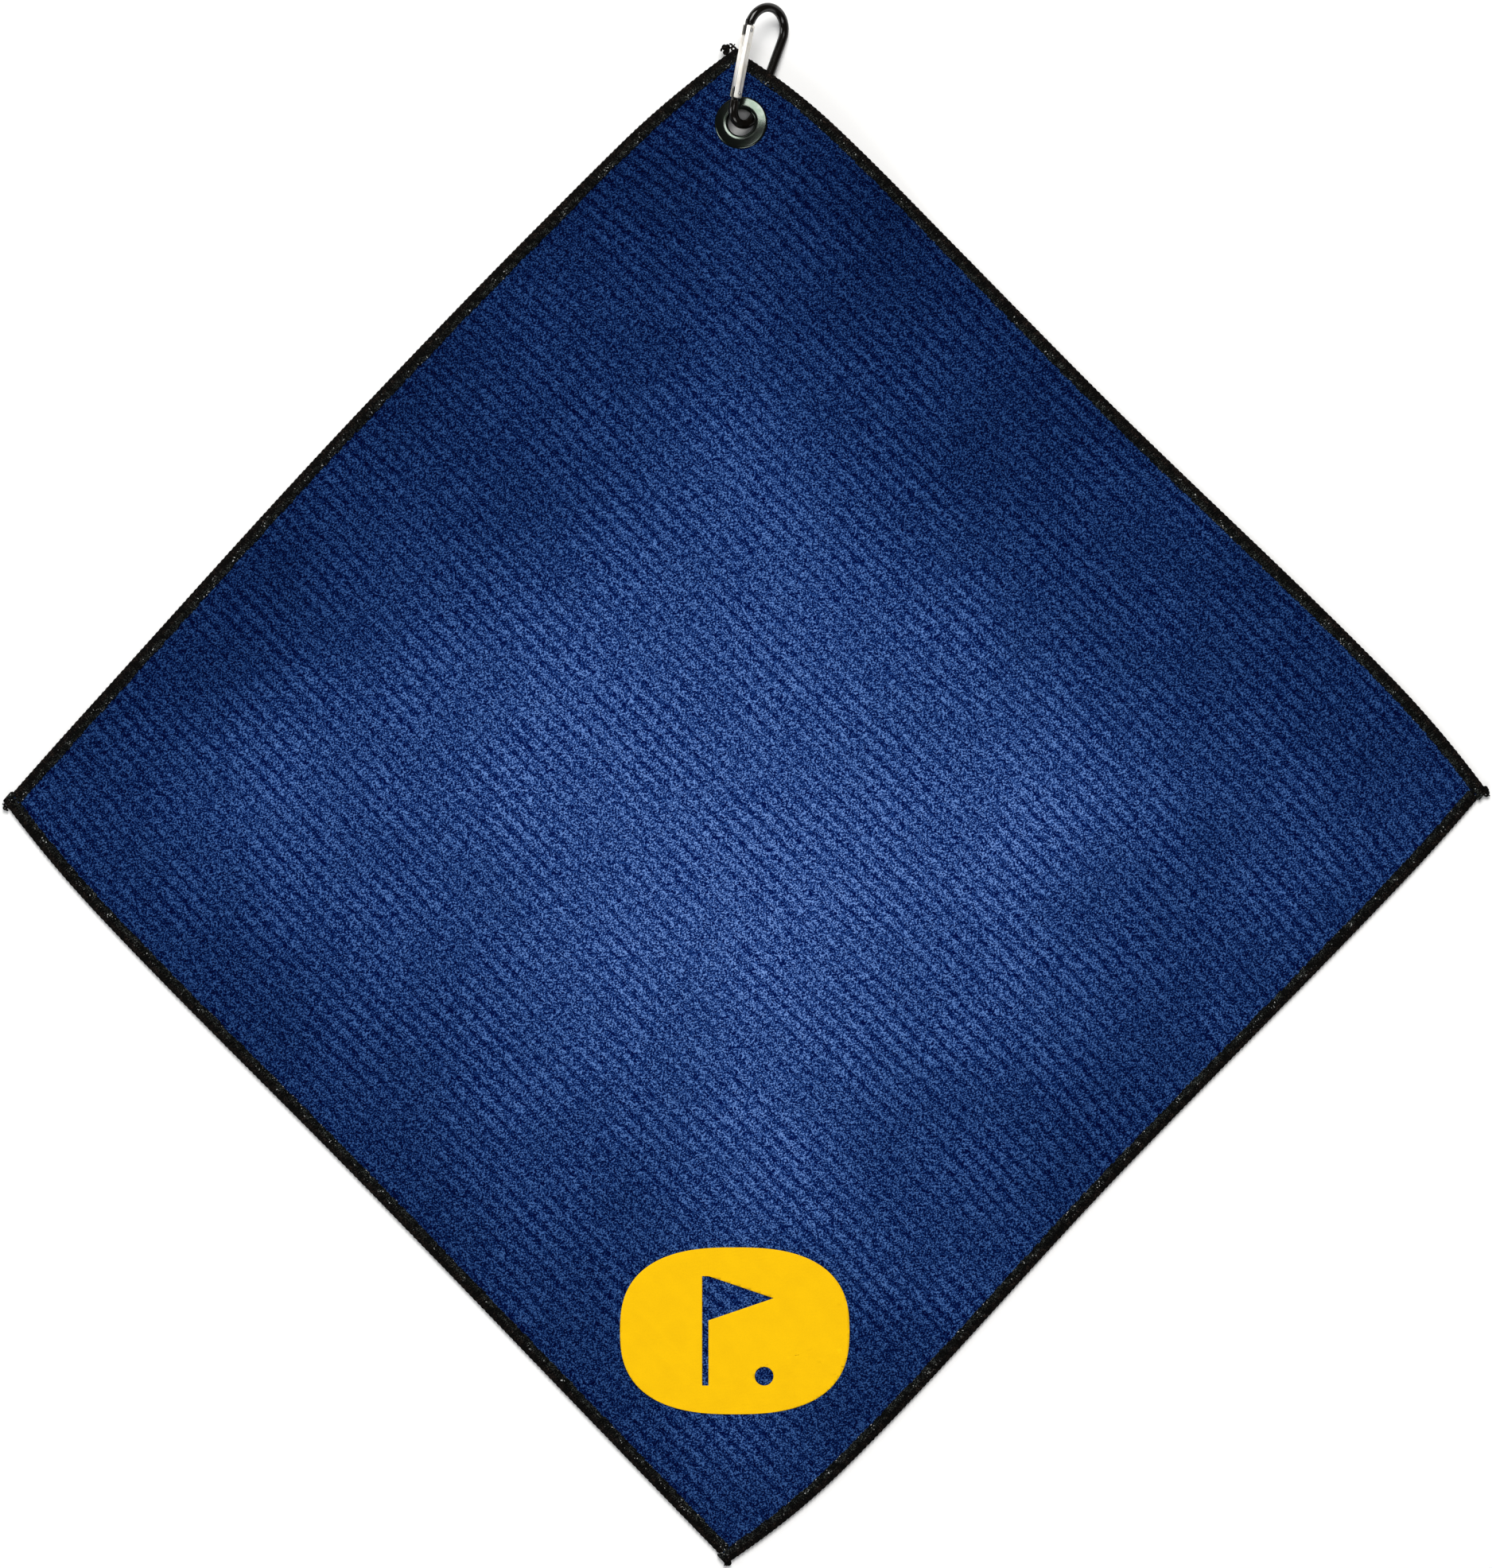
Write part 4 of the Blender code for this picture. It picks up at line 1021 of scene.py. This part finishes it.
class GOLFTOWEL_OT_badge(bpy.types.Operator):
    """Print the badge on the cloth"""

    bl_idname = "golf_towel.badge"
    bl_label = "Printed badge"

    def execute(self, context):
        settings = {"dimensions": "2D", "fill_mode": "BOTH"}
        bm = curve_bmesh(badge_outlines(), True, settings)
        reaches = (
            (Vector((1, 0, 0)), sizes().badge_width), (Vector((0, 1, 0)), sizes().badge_height),
        )
        for axis, reach in reaches:
            cuts = round(reach / 2 / INK_GRID)
            for k in range(-cuts, cuts + 1):
                geometry = [*bm.verts, *bm.edges, *bm.faces]
                middle = axis * k * INK_GRID
                bmesh.ops.bisect_plane(bm, geom=geometry, plane_co=middle, plane_no=axis)
        cloth = bpy.data.objects["waffle_cloth"]
        surface = BVHTree.FromObject(cloth, context.evaluated_depsgraph_get())
        middle = BOTTOM_CORNER + BADGE_FROM_CORNER + TOWEL_PLACE
        crest = CLOTH_MIDDLE + (sizes().cloth_wall + sizes().relief) / 2
        for vert in bm.verts:
            x, y = vert.co.x + middle.x, vert.co.y + middle.y
            below = surface.ray_cast(Vector((x, y, 0.05)), Vector((0, 0, -1)))[0]
            if below is None:
                raise RuntimeError("the badge lies off the cloth")
            bridged = max(below.z + 0.12 * MM, 0.3 * below.z + 0.7 * crest)
            vert.co = (x, y, bridged + sizes().ink_thickness * 0.6)
        for face in bm.faces:
            face.smooth = True
            if face.normal.z < 0:
                face.normal_flip()
        badge = add_piece("badge_print", mesh_from("badge_print", bm), print_material())
        add_wall(badge, sizes().ink_thickness)
        settle(badge, "towel", ["printed_badge"])
        return {"FINISHED"}


# Eyelet


def turned_piece(name, node, profile, material):
    """A closed profile of (radius, height) points turned about the seat's Z."""
    bm = bmesh.new()
    verts = [bm.verts.new((radius, 0, height)) for radius, height in profile]
    edges = [bm.edges.new(pair) for pair in zip(verts, verts[1:] + verts[:1])]
    bmesh.ops.spin(
        bm, geom=verts + edges, cent=(0, 0, 0), axis=(0, 0, 1), angle=2 * math.pi, steps=112
    )
    bmesh.ops.remove_doubles(bm, verts=bm.verts, dist=2 * WELD_DISTANCE)
    piece = bmesh_piece(name, bm, material, seat_matrix())
    smooth(piece.data, 38)
    settle(piece, "towel", [node])


def nickel_material():
    """Black nickel plate with fine rubbing marks and cloudy patches."""
    material, tree, place = new_material("black_nickel_plate", 0.2, 1.0)
    cloudy = tree.noise(place, 2.6 * MM, 3.0)
    fine = tree.noise(place, 0.25 * MM)
    plate = colours().nickel
    green = (plate[0] * 0.72, plate[1] * 0.82, plate[2] * 0.74)
    colour = tree.colours(tree.ramp(cloudy, 0.35, 0.7), plate, green)
    roughness = 0.10 + cloudy * 0.10 + fine * 0.05
    return finish_material(material, colour, roughness, tree.bump(fine, 0.02 * MM, 0.35))


class GOLFTOWEL_OT_eyelet(bpy.types.Operator):
    """Set the eyelet and its washer"""

    bl_idname = "golf_towel.eyelet"
    bl_label = "Eyelet and washer"

    def execute(self, context):
        material = nickel_material()
        barrel = BORE_RADIUS + EYELET_WALL
        under_flange = BARREL_TOP
        washer_top = -BARREL_TOP
        washer_bottom = washer_top - WASHER_THICKNESS
        lip_top = washer_bottom - 0.2 * MM
        lip_bottom = lip_top - 0.45 * MM
        profile = []
        for angle in evenly(0, math.pi / 2, 12):
            radius = CROWN_RADIUS - (CROWN_RADIUS - BORE_RADIUS) * math.cos(angle)
            profile.append((radius, under_flange + EYELET_DOME * math.sin(angle)))
        for share in evenly(0, 1, 20)[1:]:
            radius = CROWN_RADIUS + (FLANGE_RADIUS - 0.03 * MM - CROWN_RADIUS) * share
            rim = max(share - RIM_SHARE, 0) / (1 - RIM_SHARE)
            fall = 0.55 * share**1.3 + 0.36 * rim**2
            profile.append((radius, under_flange + EYELET_DOME * (1 - fall)))
        profile += [
            (FLANGE_RADIUS, under_flange + 0.03 * MM),
            (FLANGE_RADIUS - 0.1 * MM, under_flange),
            (barrel, under_flange),
            (barrel, lip_top),
            (LIP_RADIUS - 0.1 * MM, lip_top),
            (LIP_RADIUS, lip_top - 0.08 * MM),
            (LIP_RADIUS, lip_top - 0.2 * MM),
            (LIP_RADIUS - 0.25 * MM, lip_bottom + 0.06 * MM),
            (LIP_RADIUS - 0.7 * MM, lip_bottom),
            (barrel, lip_bottom),
            (BORE_RADIUS + 0.15 * MM, lip_bottom + 0.14 * MM),
            (BORE_RADIUS, lip_top),
            (BORE_RADIUS, under_flange - 0.3 * MM),
        ]
        turned_piece("eyelet_turned", "eyelet", profile, material)
        inner, outer = barrel + 0.3 * MM, FLANGE_RADIUS
        ring = [
            (inner, washer_top),
            (outer, washer_top),
            (outer, washer_top - WASHER_THICKNESS * 0.5),
            (outer - 0.12 * MM, washer_top - WASHER_THICKNESS * 0.85),
            (outer - WASHER_THICKNESS, washer_bottom),
            (inner, washer_bottom),
        ]
        turned_piece("washer_turned", "eyelet_washer", ring, material)
        return {"FINISHED"}


# Carabiner


def arm_start(side):
    return Vector((
        side * NARROW_BEND_RADIUS * math.cos(ARM_ANGLE),
        NARROW_BEND_RADIUS * (1 - math.sin(ARM_ANGLE)),
    ))


def arm_direction(side):
    return Vector((side * math.sin(ARM_ANGLE), math.cos(ARM_ANGLE)))


def hinge_place():
    return arm_start(-1) + arm_direction(-1) * HINGE_ABOVE_BEND


def latch_place():
    return hinge_place() + arm_direction(-1) * GATE_PIN_DISTANCE


def gate_matrix(place):
    return Matrix.Translation((place.x, place.y, 0)) @ Matrix.Rotation(ARM_ANGLE, 4, "Z")


def gate_axis():
    """The gate's own direction in the scene."""
    turned = carabiner_matrix().to_3x3() @ Vector((*arm_direction(-1), 0))
    return turned.normalized()


def anodised_material():
    """Gloss black anodised rod with a few rubbed places."""
    gloss = {"Coat Weight": 0.1, "Coat Roughness": 0.08, "Specular IOR Level": 0.3}
    material, tree, place = new_material("black_anodised_rod", 0.2, 0.0, gloss)
    rubbed = tree.ramp(tree.noise(place, 1.6 * MM, 4.0, 0.7), 0.64, 0.78)
    grain = tree.noise(place, 0.3 * MM)
    black = tree.colours(rubbed * 0.5, (0.004, 0.0032, 0.0026), (0.05, 0.046, 0.042))
    roughness = 0.10 + grain * 0.08 + rubbed * 0.15
    return finish_material(material, black, roughness, tree.bump(grain, 0.02 * MM, 0.3))


def aluminium_material():
    """Bare turned aluminium, with fine rings round the gate."""
    material, tree, place = new_material("turned_aluminium", 0.25, 1.0)
    along = tree.add(
        "ShaderNodeVectorMath", {"operation": "DOT_PRODUCT"}, {0: place, 1: tuple(gate_axis())},
        "Value",
    )
    reach = tree.add("ShaderNodeCombineXYZ", None, {"X": along})
    rings = tree.noise(reach, 0.16 * MM, 3.0, 0.7)
    smudge = tree.noise(place, 3.2 * MM)
    metal = colours().aluminium
    duller = (metal[0] * 0.86, metal[1] * 0.83, metal[2] * 0.76)
    colour = tree.colours(tree.ramp(smudge, 0.4, 0.75) * 0.6, metal, duller)
    roughness = 0.42 + rings * 0.16 + smudge * 0.08
    return finish_material(material, colour, roughness, tree.bump(rings, 0.02 * MM, 0.4))


def steel_material():
    """Bright spring steel with drawing marks."""
    material, tree, place = new_material("drawn_spring_steel", 0.3, 1.0)
    marks = tree.noise(place, 0.3 * MM, 3.0)
    tone = tree.colours(marks, (0.38, 0.38, 0.39), (0.58, 0.58, 0.58))
    normal = tree.bump(marks, 0.015 * MM, 0.4)
    return finish_material(material, tone, 0.22 + marks * 0.18, normal)


def rod_points():
    """The rod's middle line, from below the gate's hinge round both bends to its latch."""
    points = [hinge_place() - arm_direction(-1) * (GATE_END + HINGE_ROD_GAP)]
    for angle in evenly(-math.pi + ARM_ANGLE, -ARM_ANGLE, 32):
        points.append((direction(angle) + Vector((0, 1))) * NARROW_BEND_RADIUS)
    for angle in evenly(-ARM_ANGLE, math.pi + ARM_ANGLE, 48):
        points.append(Vector((0, WIDE_BEND_CENTRE)) + direction(angle) * WIDE_BEND_RADIUS)
    return [*points, latch_place()]


def box_piece(name, low, high, matrix):
    bm = bmesh.new()
    bmesh.ops.create_cube(bm, size=1)
    bmesh.ops.scale(bm, verts=bm.verts, vec=Vector(high) - Vector(low))
    bmesh.ops.translate(bm, verts=bm.verts, vec=(Vector(low) + Vector(high)) / 2)
    return bmesh_piece(name, bm, None, matrix)


def cylinder_piece(name, radius, matrix):
    bm = bmesh.new()
    bmesh.ops.create_cone(
        bm, cap_ends=True, segments=32, radius1=radius, radius2=radius, depth=2 * CUTTER_REACH
    )
    return bmesh_piece(name, bm, None, matrix)


class GOLFTOWEL_OT_carabiner(bpy.types.Operator):
    """Bend the carabiner's rod"""

    bl_idname = "golf_towel.carabiner"
    bl_label = "Carabiner rod"

    def execute(self, context):
        settings = {
            "dimensions": "3D", "bevel_depth": ROD_RADIUS, "bevel_resolution": 10,
            "use_fill_caps": True,
        }
        bm = curve_bmesh([rod_points()], False, settings)
        rod = bmesh_piece("carabiner_rod", bm, anodised_material())
        hinge = gate_matrix(hinge_place())
        latch = gate_matrix(latch_place())
        half = TONGUE_THICKNESS / 2
        shoulder = GATE_END + SHOULDER_GAP
        far = CUTTER_REACH
        steps = (
            ("DIFFERENCE", box_piece("gate_room", (-far, -far, -far), (far, shoulder, far), latch)),
            ("UNION", box_piece(
                "tongue", (-TONGUE_HALF_WIDTH, -GATE_END - HINGE_ROD_GAP - TONGUE_ROOT, -half),
                (TONGUE_HALF_WIDTH, TONGUE_CAM, half), hinge,
            )),
            ("DIFFERENCE", cylinder_piece("hinge_hole", HINGE_HOLE_RADIUS, hinge)),
            ("UNION", box_piece(
                "nose", (-NOSE_WIDTH / 2, -NOTCH_RADIUS - NOSE_LIP, -half),
                (NOSE_WIDTH / 2, shoulder + TONGUE_ROOT, half), latch,
            )),
            ("DIFFERENCE", cylinder_piece("notch_round", NOTCH_RADIUS, latch)),
            ("DIFFERENCE", box_piece(
                "notch_mouth", (0, -NOTCH_RADIUS, -far), (far, NOTCH_RADIUS, far), latch,
            )),
        )
        for operation, tool in steps:
            cut = rod.modifiers.new(tool.name, "BOOLEAN")
            cut.operation = operation
            cut.object = tool
            cut.solver = "EXACT"
        edges = rod.modifiers.new("broken_edges", "BEVEL")
        edges.width = 0.12 * MM
        edges.segments = 2
        edges.limit_method = "ANGLE"
        edges.angle_limit = math.radians(50)
        bake_modifiers(rod)
        for operation, tool in steps:
            remove(tool)
        rod.data.transform(carabiner_matrix())
        smooth(rod.data, 40)
        settle(rod, "carabiner", ["carabiner_body"])
        return {"FINISHED"}


class GOLFTOWEL_OT_gate(bpy.types.Operator):
    """Finish the carabiner's gate, its pins, spring and plunger"""

    bl_idname = "golf_towel.gate"
    bl_label = "Gate and spring"

    def execute(self, context):
        bm = bmesh.new()
        bm.from_mesh(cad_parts["carabiner_gate"].data)
        bmesh.ops.remove_doubles(bm, verts=bm.verts, dist=WELD_DISTANCE)
        mesh = mesh_from("gate_turned", bm)
        smooth(mesh, 32)
        gate = add_piece("gate_turned", mesh, aluminium_material())
        settle(gate, "gate", ["carabiner_gate"])
        steel = steel_material()
        for name in ("hinge_pin", "latch_pin", "gate_spring", "gate_plunger"):
            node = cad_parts[name]
            node.data.materials.clear()
            node.data.materials.append(steel)
        return {"FINISHED"}


# Stage


def area_light(name, place, size, power, colour):
    light = bpy.data.lights.new(name, "AREA")
    light.shape = "RECTANGLE"
    light.size, light.size_y = size
    light.energy = power
    light.color = colour
    lamp = bpy.data.objects.new(name, light)
    bpy.context.scene.collection.objects.link(lamp)
    lamp.location = place
    lamp.rotation_euler = (-Vector(place)).to_track_quat("-Z", "Y").to_euler()


class GOLFTOWEL_OT_stage(bpy.types.Operator):
    """Set the floor, the lights and the camera"""

    bl_idname = "golf_towel.stage"
    bl_label = "Stage"

    def execute(self, context):
        scene = context.scene
        material, tree, place = new_material("pale_floor", 0.8, 0.0, {"Specular IOR Level": 0.1})
        paper = tree.noise(place, 1.5 * MM, 3.0)
        pale = colours().floor
        shade = tuple(channel * 0.985 for channel in pale)
        finish_material(material, tree.colours(paper, pale, shade))
        bm = bmesh.new()
        bmesh.ops.create_grid(bm, x_segments=4, y_segments=4, size=FLOOR_HALF)
        bmesh.ops.translate(bm, verts=bm.verts, vec=(0, 0, -FLOOR_DROP))
        floor = bmesh_piece("studio_floor", bm, material)
        face_up(floor.data)
        world = bpy.data.worlds.new("soft_white")
        world.use_nodes = True
        background = world.node_tree.nodes["Background"]
        background.inputs["Color"].default_value = (0.95, 0.97, 1.0, 1)
        background.inputs["Strength"].default_value = WORLD_STRENGTH
        scene.world = world
        for light in LIGHTS:
            area_light(*light)
        camera = bpy.data.cameras.new("camera")
        camera.sensor_fit = "VERTICAL"
        camera.sensor_height = SENSOR_HEIGHT
        camera.lens = SENSOR_HEIGHT * CAMERA_PLACE[2] / VIEW_HEIGHT
        camera.clip_end = 20
        eye = bpy.data.objects.new("camera", camera)
        scene.collection.objects.link(eye)
        eye.location = CAMERA_PLACE
        scene.camera = eye
        scene.view_settings.view_transform = "Standard"
        scene.view_settings.look = "None"
        return {"FINISHED"}


OPERATORS = (
    GOLFTOWEL_OT_stage,
    GOLFTOWEL_OT_cloth,
    GOLFTOWEL_OT_hem,
    GOLFTOWEL_OT_eyelet,
    GOLFTOWEL_OT_carabiner,
    GOLFTOWEL_OT_gate,
    GOLFTOWEL_OT_badge,
    GOLFTOWEL_OT_thread_ends,
)


class GOLFTOWEL_PT_panel(bpy.types.Panel):
    """Makes the towel's pieces one by one"""

    bl_idname = "GOLFTOWEL_PT_panel"
    bl_label = "Golf Towel"
    bl_space_type = "VIEW_3D"
    bl_region_type = "UI"
    bl_category = "Golf Towel"

    def draw(self, context):
        layout = self.layout
        for operator in OPERATORS:
            layout.operator(operator.bl_idname)
        for group in (context.scene.towel_sizes, context.scene.towel_colours):
            column = layout.column()
            for name in group.bl_rna.properties.keys():
                if name not in ("rna_type", "name"):
                    column.prop(group, name)


CLASSES = (TowelSizes, TowelColours, *OPERATORS, GOLFTOWEL_PT_panel)


def register():
    for item in CLASSES:
        bpy.utils.register_class(item)
    bpy.types.Scene.towel_sizes = bpy.props.PointerProperty(type=TowelSizes)
    bpy.types.Scene.towel_colours = bpy.props.PointerProperty(type=TowelColours)


def unregister():
    del bpy.types.Scene.towel_colours
    del bpy.types.Scene.towel_sizes
    for item in reversed(CLASSES):
        bpy.utils.unregister_class(item)


def main():
    register()
    bpy.ops.golf_towel.stage()
    bpy.ops.golf_towel.cloth()
    bpy.ops.golf_towel.hem()
    bpy.ops.golf_towel.eyelet()
    bpy.ops.golf_towel.carabiner()
    bpy.ops.golf_towel.gate()
    bpy.ops.golf_towel.badge()
    bpy.ops.golf_towel.thread_ends()


if __name__ == "__main__":
    main()
